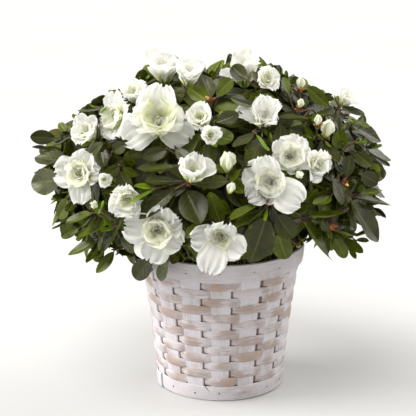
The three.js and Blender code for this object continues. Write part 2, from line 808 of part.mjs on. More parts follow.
// Leaves in a whorl down the shoot; one that meets something is turned, shortened or skipped
function setLeaves(shoot, mass, masses, flowers, pieces, random) {
  const leafy = shoot.kind === 'leaves';
  const whorl = leafy ? LEAFY_SHOOT : BLOSSOM_SHOOT;
  const fullLength = leafy ? shoot.size : LEAF_LENGTH;
  const axes = axesAlong(shoot.axis, UP);
  const phase = random() * 360;
  for (let i = 0; i < whorl.leaves; i++) {
    const base = shoot.tip.clone().addScaledVector(axes.along, -LEAF_START - i * LEAF_SPACING);
    const startTurn = phase + i * LEAF_TURN;
    const startPitch = whorl.pitch + i * whorl.pitchStep + whorl.pitchRange * random();
    const growth = LEAF_GROWTH.first + LEAF_GROWTH.step * i + LEAF_GROWTH.range * random();
    const startLength = fullLength * growth;
    for (let attempt = 0; attempt < LEAF_TRIES; attempt++) {
      const swing = (attempt % 2 === 0 ? 1 : -1) * Math.ceil(attempt / 2) * TRY_TURN;
      const turn = (startTurn + swing) * DEGREE;
      const pitch = (startPitch + (attempt % 3) * TRY_PITCH) * DEGREE;
      const length = startLength * (1 - TRY_SHRINK * attempt);
      const radial = axes.side
        .clone()
        .multiplyScalar(Math.cos(turn))
        .addScaledVector(axes.out, Math.sin(turn));
      const direction = axes.along
        .clone()
        .multiplyScalar(Math.cos(pitch))
        .addScaledVector(radial, Math.sin(pitch));
      direction.z -= LEAF_DROOP;
      direction.normalize();
      const root = base.clone().addScaledVector(direction, -LEAF_ROOT_DEPTH);
      const blade = placed(leaf(root, direction, axes.along, length), mass);
      const inside = blade.points.every(
        (point) => spill(point, mass, masses) < MASS_SPILL && crownShare(point) < CROWN_REACH,
      );
      const covers = flowers.some((each) => blade.points.some((point) => shades(point, each)));
      const grown = leaf(root, direction, axes.along, length, GAP);
      if (inside && !covers && isClear(grown, mass, pieces, { stem: shoot })) {
        pieces.push(blade);
        break;
      }
    }
  }
}

// Assembly

const plant = new THREE.Group();
const basket = new THREE.Group();
const crown = new THREE.Group();
plant.add(basket, crown);

function addMesh(group, name, geometry, material) {
  const mesh = new THREE.Mesh(geometry, material);
  mesh.name = name;
  group.add(mesh);
  return mesh;
}

const splint = new THREE.MeshStandardMaterial({ color: 0xcdbfb6, roughness: 0.8, metalness: 0 });
const bandSplint = new THREE.MeshStandardMaterial({ color: 0xd4cdd0, roughness: 0.75, metalness: 0 });
const mossySoil = new THREE.MeshStandardMaterial({ color: 0x4a4320, roughness: 1, metalness: 0 });
const bark = new THREE.MeshStandardMaterial({ color: 0x5c4433, roughness: 0.9, metalness: 0 });
const foliage = new THREE.MeshStandardMaterial({ color: 0x2c4a22, roughness: 0.45, metalness: 0 });

addMesh(basket, 'basket_weave', basketWeave(), splint);
addMesh(basket, 'basket_rim_band', basketBand(BASKET_HEIGHT - RIM_BAND_HEIGHT, BASKET_HEIGHT), bandSplint);
addMesh(basket, 'basket_foot_band', basketBand(0, FOOT_BAND_HEIGHT), bandSplint);
addMesh(basket, 'basket_floor', basketFloor(), splint);
addMesh(basket, 'root_ball', rootBall(), mossySoil);
addMesh(crown, 'trunk', trunk(), bark);

const masses = layOutMasses();
const frontRow = frontShoots();
shareOut([...frontRow, ...fillerShoots(frontRow)], masses);

// Everything that the foliage has to clear: the basket, the soil, the trunk and the boughs
const pieces = [...basket.children, ...crown.children].map((mesh) => {
  const still = mesh.geometry.index ? mesh.geometry : BufferGeometryUtils.mergeVertices(mesh.geometry);
  return placed(still, null);
});
for (const mass of masses) {
  const geometry = bough(mass);
  addMesh(crown, `bough_${mass.name}`, geometry, bark);
  pieces.push(placed(geometry, null));
}

for (const mass of masses) {
  bendShoots(mass);
  const stemFoot = mass.boughTip.clone().addScaledVector(mass.boughEnd, GAP);
  const stemTop = stemFoot.clone().addScaledVector(mass.boughEnd, STEM_LENGTH);
  const twigs = [];
  growTwigs([stemFoot, stemTop], mass.shoots, TWIG_BASE_RADIUS, twigs, false);
  for (const { shoot, geometry } of twigs) {
    pieces.push({ ...placed(geometry, mass), stem: shoot });
  }
}
const flowers = [];
for (const mass of masses) {
  for (const shoot of mass.shoots.filter((each) => each.kind !== 'leaves')) {
    setFlower(shoot, mass, pieces);
    flowers.push(shoot);
  }
}
const random = randomStream(LEAF_SEED);
for (const mass of masses) {
  for (const shoot of mass.shoots) {
    setLeaves(shoot, mass, masses, flowers, pieces, random);
  }
}
for (const mass of masses) {
  const own = pieces.filter((piece) => piece.mass === mass).map((piece) => piece.geometry);
  addMesh(crown, `foliage_${mass.name}`, toGeometry(fuse(own)), foliage);
}

export default plant;
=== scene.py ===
import math

import bpy
import numpy as np
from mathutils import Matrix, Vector
from mathutils.bvhtree import BVHTree


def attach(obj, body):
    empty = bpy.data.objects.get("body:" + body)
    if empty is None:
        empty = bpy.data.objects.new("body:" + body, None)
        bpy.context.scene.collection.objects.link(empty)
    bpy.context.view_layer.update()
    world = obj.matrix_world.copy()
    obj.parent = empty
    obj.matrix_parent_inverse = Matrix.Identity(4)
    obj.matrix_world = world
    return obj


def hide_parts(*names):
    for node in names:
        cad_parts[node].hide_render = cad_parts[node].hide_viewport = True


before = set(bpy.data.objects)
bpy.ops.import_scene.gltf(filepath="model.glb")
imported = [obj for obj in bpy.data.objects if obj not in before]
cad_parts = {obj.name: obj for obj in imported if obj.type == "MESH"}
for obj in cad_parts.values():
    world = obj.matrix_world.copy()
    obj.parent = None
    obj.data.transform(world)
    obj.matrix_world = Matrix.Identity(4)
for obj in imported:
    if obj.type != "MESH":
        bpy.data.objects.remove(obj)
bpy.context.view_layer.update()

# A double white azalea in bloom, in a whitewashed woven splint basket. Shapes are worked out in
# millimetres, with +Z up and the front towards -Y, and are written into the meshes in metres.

METRE = 1000.0
UP = np.array([0.0, 0.0, 1.0])

# Camera, as the photograph was taken
CAMERA_DISTANCE = 1400
CAMERA_HEIGHT = 548
CAMERA_TURN = math.radians(-0.6)
CAMERA_TILT = math.radians(13.58)
PHOTO_WIDTH = 416
FOCAL_PIXELS = 1235
SENSOR_WIDTH = 36

# Basket
BASKET_HEIGHT = 168
FOOT_RADIUS = 75
RIM_RADIUS = 96
STRAIGHT_FLARE = 0.6
RIM_BAND_HEIGHT = 22
RIM_BAND_FOOT = BASKET_HEIGHT - RIM_BAND_HEIGHT
FOOT_BAND_HEIGHT = 18
BAND_THICKNESS = 1.8
BAND_OVERLAP = 0.2
LAP_CLIMB = 0.12
LAP_FREE = 0.16
STAVES = 16
STAVE_SHARE = 0.68
STAVE_THICKNESS = 2
STAVE_INSET = 2.5
WEAVER_ROWS = 13
WEAVER_THICKNESS = 1.1
WEAVER_LAP = 0.4
WEAVE_SWING = 1.4
WEAVE_LAG = 0.08
WALL_THICKNESS = 5
NAIL_RADIUS = 1.2
NAIL_SIDES = 8
FOOT_CRACK = [(-13.2, 17.9), (-11.6, 15.4), (-10.5, 13.4), (-8.5, 10.4)]

# Root ball
SOIL_EDGE_HEIGHT = 155
SOIL_TOP_HEIGHT = 164
SOIL_TOP_FLAT = 26
RIM_HIGH_SIDE = math.radians(95)
MOSS_TUFT = (86, -8)
MOSS_TUFT_RADIUS = 24
MOSS_STRANDS = 6000
TUFT_STRANDS = 900
MOSS_CLUMPS = 64
CLUMP_STRANDS = 24
FLOOR_THICKNESS = 5
CLUMP_TURNS = (-19, 9)
CLUMP_REACH = (80, 94.5)
CLUMP_SIZES = (2.4, 3.8)
RIM_REACH = 88

# Trunk and boughs
GAP = 0.35
TRUNK_FOOT = np.array([0.0, 0.0, SOIL_TOP_HEIGHT + GAP])
TRUNK_FORK = np.array([-5.0, 2.0, 212.0])
TRUNK_FOOT_RADIUS = 11
TRUNK_TIP_RADIUS = 7.5
TRUNK_SIDES = 30
ROOT_FLARE = 8
ROOT_FLARE_LOBES = 5
BOUGH_BASE_RADIUS = 3.2
BOUGH_TIP_RADIUS = 2.5
BOUGH_REACH = 0.46
BOUGH_SIDES = 12
MASS_RINGS = [
    dict(name="top", count=1, turn=0, climb=90, reach=0.56, leaves=207),
    dict(name="upper", count=5, turn=18, climb=36, reach=0.6, leaves=202),
    dict(name="lower", count=7, turn=0, climb=-14, reach=0.64, leaves=191),
]

# Crown
CROWN_CENTRE = np.array([-8.0, 0.0, 250.0])
CROWN_ACROSS = 203
CROWN_DEEP = 185
CROWN_UP = 138
CROWN_DOWN = 115
CROWN_REACH = 1.08

# Twigs
TWIG_BASE_RADIUS = 2.3
TWIG_TIP_RADIUS = 1.6
TWIG_THIN_RADIUS = 1.2
TWIG_TAPER = 0.88
STEM_LENGTH = 6
FORK_SHARE = 0.43
SHOOT_KNEE = 24

# Leaves
LEAF_LENGTH = 50
LEAF_WIDTH_SHARE = 0.56
LEAF_THICKNESS = 0.5
LEAF_TURN = 137.5
LEAF_TRIES = 7
PIECE_FACES = 90000

# Shoots, as in the solids
FILLER_SHOOTS = 112
FILLER_TURN = 137.508
FILLER_INSET = 0.89
FILLER_CROWDING = 1.2
FILLER_CLEARANCE = 36
LOWEST_SHOOT = -0.76
FILLER_BLOSSOM_BACK = 0.62
OPEN_SHARE = 0.2
HALF_SHARE = 0.36
BUD_SHARE = 0.44
OPEN_SIZES = (46, 64)
HALF_SIZES = (30, 44)
BUD_SIZE = 18

# Shoots seen at the front: across, up, kind, size, turn to the right and tilt above level
FRONT_SHOOTS = [
    (-65, 382, "half", 50, -5, 66),
    (-34, 380, "half", 40, 15, 60),
    (-66, 340, "open", 70, -5, 36),
    (-96, 360, "half", 36, -25, 50),
    (-120, 336, "open", 58, -52, 22),
    (-146, 321, "half", 38, -30, 40),
    (-155, 276, "open", 62, -28, 6),
    (-98, 257, "half", 44, -8, 0),
    (-66, 224, "open", 66, -8, -4),
    (-1, 218, "open", 60, -6, -8),
    (-27, 297, "half", 44, 16, 52),
    (-22, 341, "half", 34, -6, 40),
    (7, 307, "bud", 24, 0, 58),
    (46, 347, "half", 50, 2, 48),
    (52, 372, "half", 34, 30, 25),
    (25, 385, "half", 54, -10, 74),
    (146, 341, "half", 27, 55, 46),
    (116, 329, "bud", 22, 14, 56),
    (74, 302, "open", 50, 12, 18),
    (103, 291, "half", 38, 34, 8),
    (50, 277, "open", 58, -4, 4),
    (-10, 362, "leaves", 50, 0, 50),
    (52, 254, "leaves", 56, 0, -8),
    (141, 266, "leaves", 50, 42, 5),
    (-183, 298, "leaves", 46, -62, 12),
    (-126, 214, "leaves", 48, -42, -20),
    (128, 214, "leaves", 48, 42, -25),
    (-84, 186, "leaves", 46, -18, -45),
    (158, 306, "leaves", 48, 58, 20),
]

# Outer petals of those blossoms: clock angle, opening from the axis, length and width as shares
# of the blossom's size. The number is the blossom's row above.
PETALS_SEEN = {
    2: [
        (238, 106, 0.66, 0.6), (124, 108, 0.6, 0.54), (335, 58, 0.66, 0.5), (12, 50, 0.7, 0.56),
        (290, 80, 0.5, 0.42),
    ],
    6: [
        (272, 88, 0.58, 0.56), (176, 94, 0.58, 0.46), (35, 70, 0.56, 0.5), (80, 80, 0.5, 0.42),
        (320, 64, 0.42, 0.4),
    ],
    7: [
        (0, 38, 0.7, 0.66), (75, 36, 0.62, 0.6), (150, 40, 0.72, 0.66), (215, 42, 0.74, 0.66),
        (290, 36, 0.66, 0.6),
    ],
    8: [
        (282, 88, 0.62, 0.54), (200, 96, 0.6, 0.56), (118, 84, 0.5, 0.5), (60, 74, 0.5, 0.46),
        (14, 66, 0.56, 0.44),
    ],
    9: [
        (198, 70, 0.78, 0.54), (266, 76, 0.62, 0.56), (126, 70, 0.6, 0.56), (14, 46, 0.62, 0.5),
        (330, 50, 0.5, 0.4),
    ],
    10: [
        (185, 26, 0.74, 0.62), (255, 34, 0.72, 0.6), (100, 58, 0.74, 0.62), (30, 26, 0.74, 0.56),
        (320, 20, 0.7, 0.5),
    ],
    13: [
        (280, 84, 0.72, 0.4), (5, 22, 0.72, 0.52), (62, 34, 0.68, 0.5), (318, 26, 0.6, 0.42),
        (120, 46, 0.5, 0.4),
    ],
    15: [
        (274, 78, 0.6, 0.42), (20, 20, 0.8, 0.6), (100, 30, 0.7, 0.46), (180, 22, 0.66, 0.5),
        (320, 26, 0.76, 0.52),
    ],
    18: [
        (330, 76, 0.54, 0.54), (30, 78, 0.56, 0.54), (90, 84, 0.5, 0.54), (150, 80, 0.4, 0.46),
        (250, 80, 0.44, 0.44),
    ],
    20: [
        (300, 86, 0.58, 0.56), (240, 84, 0.56, 0.5), (350, 70, 0.64, 0.5), (122, 92, 0.76, 0.64),
        (190, 80, 0.46, 0.4),
    ],
}

# Rows of the open blossoms whose stamens show
STAMEN_SHOOTS = [4, 6, 8, 9]

# Height of the double heart of some of those, as a share of the blossom's size
HEARTS_SEEN = {2: 0.56, 8: 0.42, 9: 0.32, 10: 0.5, 13: 0.4, 15: 0.6, 18: 0.42, 20: 0.42}

# Rows of those whose heart is white to its foot
PALE_HEARTS = [0, 1, 13, 15, 18, 20]

# Rows of those with a full ruffled heart, and None for the blossoms at the back
FULL_HEARTS = [2, None]

# Small buds and late blossoms on side twigs: across, up, kind, size, turn, tilt
SIDE_BLOSSOMS = [
    (-10, 324, "half", 24, 8, 8),
    (103, 334, "bud", 12, 5, 70),
    (85, 350, "bud", 11, 10, 60),
    (88, 366, "bud", 14, 15, 75),
    (82, 283, "bud", 12, 20, -10),
    (-120, 276, "half", 16, 20, 10),
    (-133, 249, "bud", 12, -20, 30),
    (11, 277, "bud", 13, 20, 60),
]

# Rows of the shoots seen at the front whose bud scales show
SCALY_SHOOTS = [1, 10, 13, 14, 16, 17, 21, 22, 23, 26]

# Leaves seen at the front, in pixels of the photograph's frame: foot, tip, width and tone
DEEP, MIDDLE, FRESH = 0, 2, 4
LEAVES_SEEN = [
    (57, 138, 30, 137, 15, DEEP), (56, 150, 32, 147, 4, DEEP), (64, 160, 35, 157, 16, DEEP),
    (62, 181, 31, 183, 27, DEEP), (76, 161, 73, 139, 21, DEEP), (86, 157, 103, 143, 12, DEEP),
    (67, 131, 59, 123, 9, MIDDLE), (80, 118, 70, 124, 6, DEEP), (83, 117, 92, 119, 5, DEEP),
    (96, 128, 100, 121, 8, DEEP), (68, 197, 58, 218, 14, MIDDLE), (76, 198, 67, 212, 10, DEEP),
    (92, 213, 66, 221, 9, MIDDLE), (66, 222, 52, 229, 2, MIDDLE), (80, 228, 61, 237, 11, MIDDLE),
    (108, 223, 77, 237, 13, MIDDLE), (98, 240, 68, 255, 9, MIDDLE), (99, 243, 86, 263, 8, MIDDLE),
    (117, 231, 100, 255, 10, MIDDLE), (115, 250, 96, 273, 11, MIDDLE), (119, 236, 138, 252, 12, DEEP),
    (118, 249, 133, 257, 8, DEEP), (104, 236, 98, 249, 6, MIDDLE), (114, 228, 101, 231, 5, FRESH),
    (114, 227, 104, 220, 4, FRESH), (117, 228, 120, 221, 3, FRESH), (97, 213, 104, 202, 5, FRESH),
    (153, 258, 135, 279, 19, DEEP), (168, 261, 157, 277, 13, MIDDLE), (170, 255, 178, 262, 10, DEEP),
    (140, 122, 125, 113, 9, DEEP), (138, 108, 122, 100, 5, DEEP), (107, 106, 101, 113, 5, FRESH),
    (112, 152, 126, 144, 13, DEEP), (146, 150, 128, 155, 12, DEEP), (168, 149, 142, 158, 14, DEEP),
    (177, 166, 137, 168, 9, DEEP), (175, 147, 190, 160, 12, DEEP), (120, 165, 106, 177, 13, DEEP),
    (139, 176, 122, 168, 9, MIDDLE), (177, 181, 145, 181, 10, DEEP), (177, 188, 139, 219, 17, DEEP),
    (184, 188, 201, 224, 30, DEEP), (193, 184, 227, 181, 14, DEEP), (200, 222, 186, 238, 12, MIDDLE),
    (154, 187, 134, 186, 6, FRESH), (154, 189, 128, 203, 4, FRESH), (267, 214, 250, 263, 32, DEEP),
    (276, 213, 294, 238, 22, DEEP), (279, 231, 287, 259, 20, MIDDLE), (263, 201, 230, 220, 8, MIDDLE),
    (263, 210, 232, 230, 6, MIDDLE), (271, 203, 258, 190, 5, MIDDLE), (276, 201, 288, 202, 5, MIDDLE),
    (280, 210, 302, 217, 7, DEEP), (266, 208, 266, 220, 4, FRESH), (228, 182, 241, 169, 6, MIDDLE),
    (256, 133, 268, 151, 5, FRESH), (255, 131, 233, 147, 10, DEEP), (262, 136, 247, 168, 20, DEEP),
    (211, 100, 201, 74, 19, DEEP), (209, 101, 188, 87, 16, MIDDLE), (216, 98, 232, 79, 14, MIDDLE),
    (248, 80, 232, 66, 16, DEEP), (263, 88, 252, 71, 8, DEEP), (256, 106, 230, 98, 9, DEEP),
    (240, 112, 216, 122, 14, DEEP), (273, 118, 309, 119, 5, DEEP), (289, 95, 284, 77, 9, MIDDLE),
    (331, 107, 308, 87, 14, MIDDLE), (340, 106, 365, 115, 8, DEEP), (350, 124, 381, 141, 15, DEEP),
    (352, 119, 369, 128, 6, MIDDLE), (342, 150, 338, 130, 17, MIDDLE), (355, 151, 372, 166, 14, DEEP),
    (367, 150, 391, 160, 8, DEEP), (373, 155, 390, 166, 6, DEEP), (346, 179, 350, 155, 12, DEEP),
    (349, 177, 358, 166, 11, DEEP), (360, 174, 378, 184, 16, DEEP), (345, 206, 332, 180, 13, DEEP),
    (350, 199, 379, 241, 21, DEEP), (357, 197, 390, 205, 6, DEEP), (358, 200, 374, 210, 6, DEEP),
    (372, 207, 386, 218, 6, DEEP), (332, 195, 313, 204, 10, MIDDLE), (348, 209, 311, 216, 7, MIDDLE),
    (305, 222, 329, 257, 10, MIDDLE), (334, 237, 346, 258, 13, MIDDLE), (342, 237, 363, 253, 10, MIDDLE),
    (355, 240, 369, 241, 5, MIDDLE), (349, 247, 356, 259, 6, MIDDLE), (355, 235, 366, 233, 4, FRESH),
    (360, 194, 379, 191, 8, MIDDLE),
]

# The crown's outline in the photograph's frame, which no other leaf crosses
OUTLINE = [
    (30, 134), (58, 121), (70, 115), (98, 96), (121, 86), (138, 74), (150, 58), (168, 52), (199, 68),
    (214, 64), (230, 52), (243, 49), (260, 56), (278, 64), (303, 77), (312, 86), (335, 93), (361, 92),
    (366, 114), (382, 140), (390, 162), (382, 187), (388, 204), (381, 219), (380, 240), (365, 254),
    (347, 259), (328, 257), (305, 243), (290, 250), (262, 259), (225, 262), (170, 262), (154, 276),
    (134, 278), (130, 258), (112, 256), (97, 270), (84, 262), (67, 254), (60, 238), (52, 228), (50, 204),
    (52, 190), (31, 182), (30, 158),
]


def random_stream(seed):
    """Repeatable random numbers from 0 to 1, the same stream as in the solids."""
    mask = 0xFFFFFFFF
    state = seed
    while True:
        state = (state + 0x6D2B79F5) & mask
        mixed = ((state ^ (state >> 15)) * (state | 1)) & mask
        mixed ^= (mixed + (((mixed ^ (mixed >> 7)) * (mixed | 61)) & mask)) & mask
        yield (mixed ^ (mixed >> 14)) / (mask + 1)


def jitter(random, spread):
    """A number drawn from minus half the spread to plus half of it."""
    return spread * (next(random) - 0.5)


# Directions and the crown's shape


def unit(vector):
    return vector / np.linalg.norm(vector)


def mix(start, end, share):
    return start + (end - start) * share


def axes_along(direction, hint=UP):
    """Three directions at right angles: along the one given, to its side, and outwards."""
    along = unit(direction)
    side = np.cross(hint, along)
    if np.linalg.norm(side) < 1e-3:
        side = np.cross([1.0, 0.0, 0.0], along)
    side = unit(side)
    return along, side, np.cross(along, side)


def even_angles(count):
    return np.arange(count) / count * 2 * math.pi


def around(angles, side, out):
    """Directions at angles round an axis."""
    return np.cos(angles)[:, None] * side + np.sin(angles)[:, None] * out


def leaning(axes, turn, pitch, sag=0):
    """A direction at a pitch from an axis, and the one square to the axis that it leans towards."""
    along, side, out = axes
    radial = side * math.cos(turn) + out * math.sin(turn)
    return unit(along * math.cos(pitch) + radial * math.sin(pitch) - sag * UP), radial


def facing(turn, climb):
    turn, climb = math.radians(turn), math.radians(climb)
    level = math.cos(climb)
    return np.array([math.sin(turn) * level, -math.cos(turn) * level, math.sin(climb)])


def crown_axes(height_above_centre):
    vertical = CROWN_UP if height_above_centre > 0 else CROWN_DOWN
    return np.array([CROWN_ACROSS, CROWN_DEEP, vertical], dtype=float)


def crown_point(direction, share):
    return direction * crown_axes(direction[2]) * share + CROWN_CENTRE


def crown_share(points):
    """How far out points lie: 1 on the crown's surface."""
    offset = np.asarray(points) - CROWN_CENTRE
    vertical = np.where(offset[..., 2] > 0, CROWN_UP, CROWN_DOWN)
    axes = np.stack(np.broadcast_arrays(CROWN_ACROSS, CROWN_DEEP, vertical), -1)
    return np.linalg.norm(offset / axes, axis=-1)


def crown_normal(point):
    offset = point - CROWN_CENTRE
    return unit(offset / crown_axes(offset[2]) ** 2)


def crown_front(across, up):
    vertical = CROWN_UP if up > CROWN_CENTRE[2] else CROWN_DOWN
    x = (across - CROWN_CENTRE[0]) / CROWN_ACROSS
    z = (up - CROWN_CENTRE[2]) / vertical
    depth = CROWN_DEEP * math.sqrt(max(0, 1 - x * x - z * z))
    return np.array([across, CROWN_CENTRE[1] - depth, up])


# The photograph's frame


VIEW_FORWARD = np.array(
    [
        math.sin(CAMERA_TURN) * math.cos(CAMERA_TILT),
        math.cos(CAMERA_TURN) * math.cos(CAMERA_TILT),
        -math.sin(CAMERA_TILT),
    ]
)
VIEW_RIGHT = np.array([math.cos(CAMERA_TURN), -math.sin(CAMERA_TURN), 0.0])
VIEW_UP = np.cross(VIEW_RIGHT, VIEW_FORWARD)
VIEW_FROM = np.array([0.0, -CAMERA_DISTANCE, CAMERA_HEIGHT])
FRAME_MIDDLE = PHOTO_WIDTH / 2
SIGHT_STEPS = np.arange(1100, 1600, 1.5)


def in_view(points):
    """Pixel across, pixel down and depth of points."""
    offset = np.asarray(points) - VIEW_FROM
    depth = offset @ VIEW_FORWARD
    across = FRAME_MIDDLE + FOCAL_PIXELS * (offset @ VIEW_RIGHT) / depth
    return across, FRAME_MIDDLE - FOCAL_PIXELS * (offset @ VIEW_UP) / depth, depth


def seen_on_crown(across, down, share):
    """Where the line of sight through a pixel first comes within a share of the crown."""
    rightwards = VIEW_RIGHT * (across - FRAME_MIDDLE) / FOCAL_PIXELS
    sight = unit(VIEW_FORWARD + rightwards + VIEW_UP * (FRAME_MIDDLE - down) / FOCAL_PIXELS)
    steps = VIEW_FROM + sight * SIGHT_STEPS[:, None]
    shares = crown_share(steps)
    within = np.nonzero(shares <= share)[0]
    return steps[within[0] if len(within) else int(np.argmin(shares))]


def pixel_index(across, down, shift_across=0, shift_down=0):
    """Row and column of the nearest pixels inside the frame."""
    places = ((down, shift_down), (across, shift_across))
    return tuple(np.clip(np.rint(place).astype(int) + shift, 0, PHOTO_WIDTH - 1) for place, shift in places)


def inside_outline(across, down):
    """Which of the pixels lie inside the outline: a line to the right crosses it an odd number of times."""
    corners = np.array(OUTLINE, dtype=float)
    following = np.roll(corners, -1, axis=0)
    u, v = np.atleast_1d(across)[:, None], np.atleast_1d(down)[:, None]
    straddles = (corners[:, 1] > v) != (following[:, 1] > v)
    rise = following[:, 1] - corners[:, 1]
    rise = np.where(rise == 0, 1e-9, rise)
    crossing = corners[:, 0] + (v - corners[:, 1]) * (following[:, 0] - corners[:, 0]) / rise
    return np.sum(straddles & (u < crossing), axis=1) % 2 == 1


class Sight:
    """Depths of what the photograph shows, to keep other leaves from covering it."""

    def __init__(self):
        self.depths = np.full((PHOTO_WIDTH, PHOTO_WIDTH), np.inf)

    def add(self, points):
        across, down, depth = in_view(points)
        for shift_across in (-1, 0, 1):
            for shift_down in (-1, 0, 1):
                np.minimum.at(self.depths, pixel_index(across, down, shift_across, shift_down), depth)

    def covered_by(self, points):
        across, down, depth = in_view(points)
        held = self.depths[pixel_index(across, down)]
        return bool(np.any(np.isfinite(held) & (depth < held - 1)))


# Meshes


def placed(name, data):
    """A new object in the scene."""
    made = bpy.data.objects.new(name, data)
    bpy.context.scene.collection.objects.link(made)
    return made


def uv_grid(first, second):
    """A map for a grid of points, from what changes along its rows and what changes across them."""
    return np.stack(np.broadcast_arrays(first, second), -1).reshape(-1, 2)


class Sheaf:
    """Many small surfaces that are joined into one piece."""

    def __init__(self):
        self.points, self.faces, self.paints, self.uvs = [], [], [], []
        self.count = 0

    def add(self, points, faces, paint=0, uv=None):
        """points in mm; paint is one material number or one for each face; uv one pair a point."""
        points = np.asarray(points, dtype=float)
        faces = np.asarray(faces)
        self.points.append(points)
        self.faces.extend((faces + self.count).tolist())
        self.paints.extend(np.broadcast_to(paint, len(faces)).tolist())
        self.uvs.append(np.zeros((len(points), 2)) if uv is None else uv)
        self.count += len(points)

    def close(self, faces, paint, first=0):
        """More faces over points that are in already, with their numbers counted from first."""
        self.faces.extend([[first + number for number in face] for face in faces])
        self.paints.extend([paint] * len(faces))

    def build(self, name, materials, slot, nodes, sharp_angle=None):
        mesh = bpy.data.meshes.new(name)
        mesh.from_pydata(np.concatenate(self.points) / METRE, [], self.faces)
        for material in materials:
            mesh.materials.append(material)
        mesh.polygons.foreach_set("material_index", self.paints)
        mesh.polygons.foreach_set("use_smooth", [True] * len(mesh.polygons))
        corners = np.empty(len(mesh.loops), dtype=np.int32)
        mesh.loops.foreach_get("vertex_index", corners)
        layer = mesh.uv_layers.new(name="UVMap")
        layer.data.foreach_set("uv", np.concatenate(self.uvs)[corners].ravel())
        mesh.update()
        if sharp_angle is not None:
            mesh.set_sharp_from_angle(angle=math.radians(sharp_angle))
        piece = placed(name, mesh)
        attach(piece, "root")
        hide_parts(*nodes)
        return piece


class Sheaves:
    """Small surfaces of one kind, in as many pieces as keep each one's faces below a limit."""

    def __init__(self):
        self.parts = [Sheaf()]

    def add(self, points, faces, paint, uv):
        if len(self.parts[-1].faces) > PIECE_FACES:
            self.parts.append(Sheaf())
        self.parts[-1].add(points, faces, paint, uv)

    def build(self, name, materials, slot, nodes):
        for number, part in enumerate(self.parts, 1):
            part.build(f"{name}_{number}", materials, slot, nodes)


def grid_faces(rows, columns, loop_columns=False):
    """Faces of a grid of points, row after row; a loop joins its last column to its first."""
    r = np.arange(rows - 1)[:, None]
    c = np.arange(columns if loop_columns else columns - 1)[None, :]
    c_next = (c + 1) % columns
    corners = [r * columns + c, r * columns + c_next, (r + 1) * columns + c_next, (r + 1) * columns + c]
    return np.stack([np.broadcast_to(k, (r.size, c.size)) for k in corners], -1).reshape(-1, 4)


def smooth_path(points, radii, steps):
    """A rounded path through a row of points, with its radii."""
    points = np.array(points)
    padded = np.vstack([2 * points[0] - points[1], points, 2 * points[-1] - points[-2]])
    path, thick = [], []
    for i in range(len(points) - 1):
        a, b, c, d = padded[i : i + 4]
        for k in range(steps):
            t = k / steps
            bent = 2 * b + (c - a) * t + (2 * a - 5 * b + 4 * c - d) * t * t
            path.append(0.5 * (bent + (3 * b - a - 3 * c + d) * t**3))
            thick.append(mix(radii[i], radii[i + 1], t))
    path.append(points[-1])
    thick.append(radii[-1])
    return np.array(path), np.array(thick)


FIRST_HINT = np.array([0.31, 0.17, 0.94])
TIP_HEIGHT = 0.8


def limb_points(path, radii, sides, relief=None):
    """Rings of points round a path; relief(ring, angles) gives shares to add to the radius."""
    rings = []
    hint = FIRST_HINT
    angles = even_angles(sides)
    for i, centre in enumerate(path):
        before, after = path[max(0, i - 1)], path[min(len(path) - 1, i + 1)]
        _, side, hint = axes_along(after - before, hint)
        swell = 1 + (relief(i, angles) if relief else 0)
        radius = (radii[i] * swell * np.ones(sides))[:, None]
        rings.append(centre + radius * around(angles, side, hint))
    return np.concatenate(rings)


def add_limb(sheaf, path, radii, sides, paint=0, relief=None):
    """A limb with a closed foot and a rounded tip."""
    tip = path[-1] + unit(path[-1] - path[-2]) * radii[-1] * TIP_HEIGHT
    points = np.vstack([limb_points(path, radii, sides, relief), tip, path[0]])
    last, tip_number, foot_number = (len(path) - 1) * sides, len(points) - 2, len(points) - 1
    ends = []
    for k in range(sides):
        k_next = (k + 1) % sides
        ends += [[last + k, last + k_next, tip_number], [foot_number, k_next, k]]
    first = sheaf.count
    sheaf.add(points, grid_faces(len(path), sides, loop_columns=True), paint)
    sheaf.close(ends, paint, first)


# Shoots and twigs, by the same rule as the solids


def lay_out_masses():
    """The masses of foliage, each with the place where its bough leaves the trunk, its bend and its tip."""
    masses = []
    for level, ring in enumerate(MASS_RINGS):
        for i in range(ring["count"]):
            turn = ring["turn"] + i * 360 / ring["count"]
            middle = crown_point(facing(turn, ring["climb"]), ring["reach"])
            climb = (ring["leaves"] - TRUNK_FOOT[2]) / (TRUNK_FORK[2] - TRUNK_FOOT[2])
            leaves = mix(TRUNK_FOOT, TRUNK_FORK, climb)
            bough_tip = mix(leaves, middle, BOUGH_REACH)
            outwards = facing(turn, 0) if level else UP
            bend = mix(leaves, bough_tip, 0.4) + 7 * outwards
            suffix = f"_{i + 1}" if ring["count"] > 1 else ""
            masses.append(
                dict(
                    name=ring["name"] + suffix,
                    middle=middle,
                    leaves=leaves,
                    bend=bend,
                    bough_tip=bough_tip,
                    end=unit(bough_tip - bend),
                    shoots=[],
                )
            )
    return masses


def front_shoots():
    depth_of = {"open": 0.4, "half": 0.6, "bud": 1.1, "leaves": 0.3}
    shoots = []
    for row, (across, up, kind, size, turn, tilt) in enumerate(FRONT_SHOOTS):
        face = facing(turn, tilt)
        tip = crown_front(across, up) - depth_of[kind] * size * face
        shoots.append(dict(tip=tip, face=face, kind=kind, size=size, front=True, row=row))
    return shoots


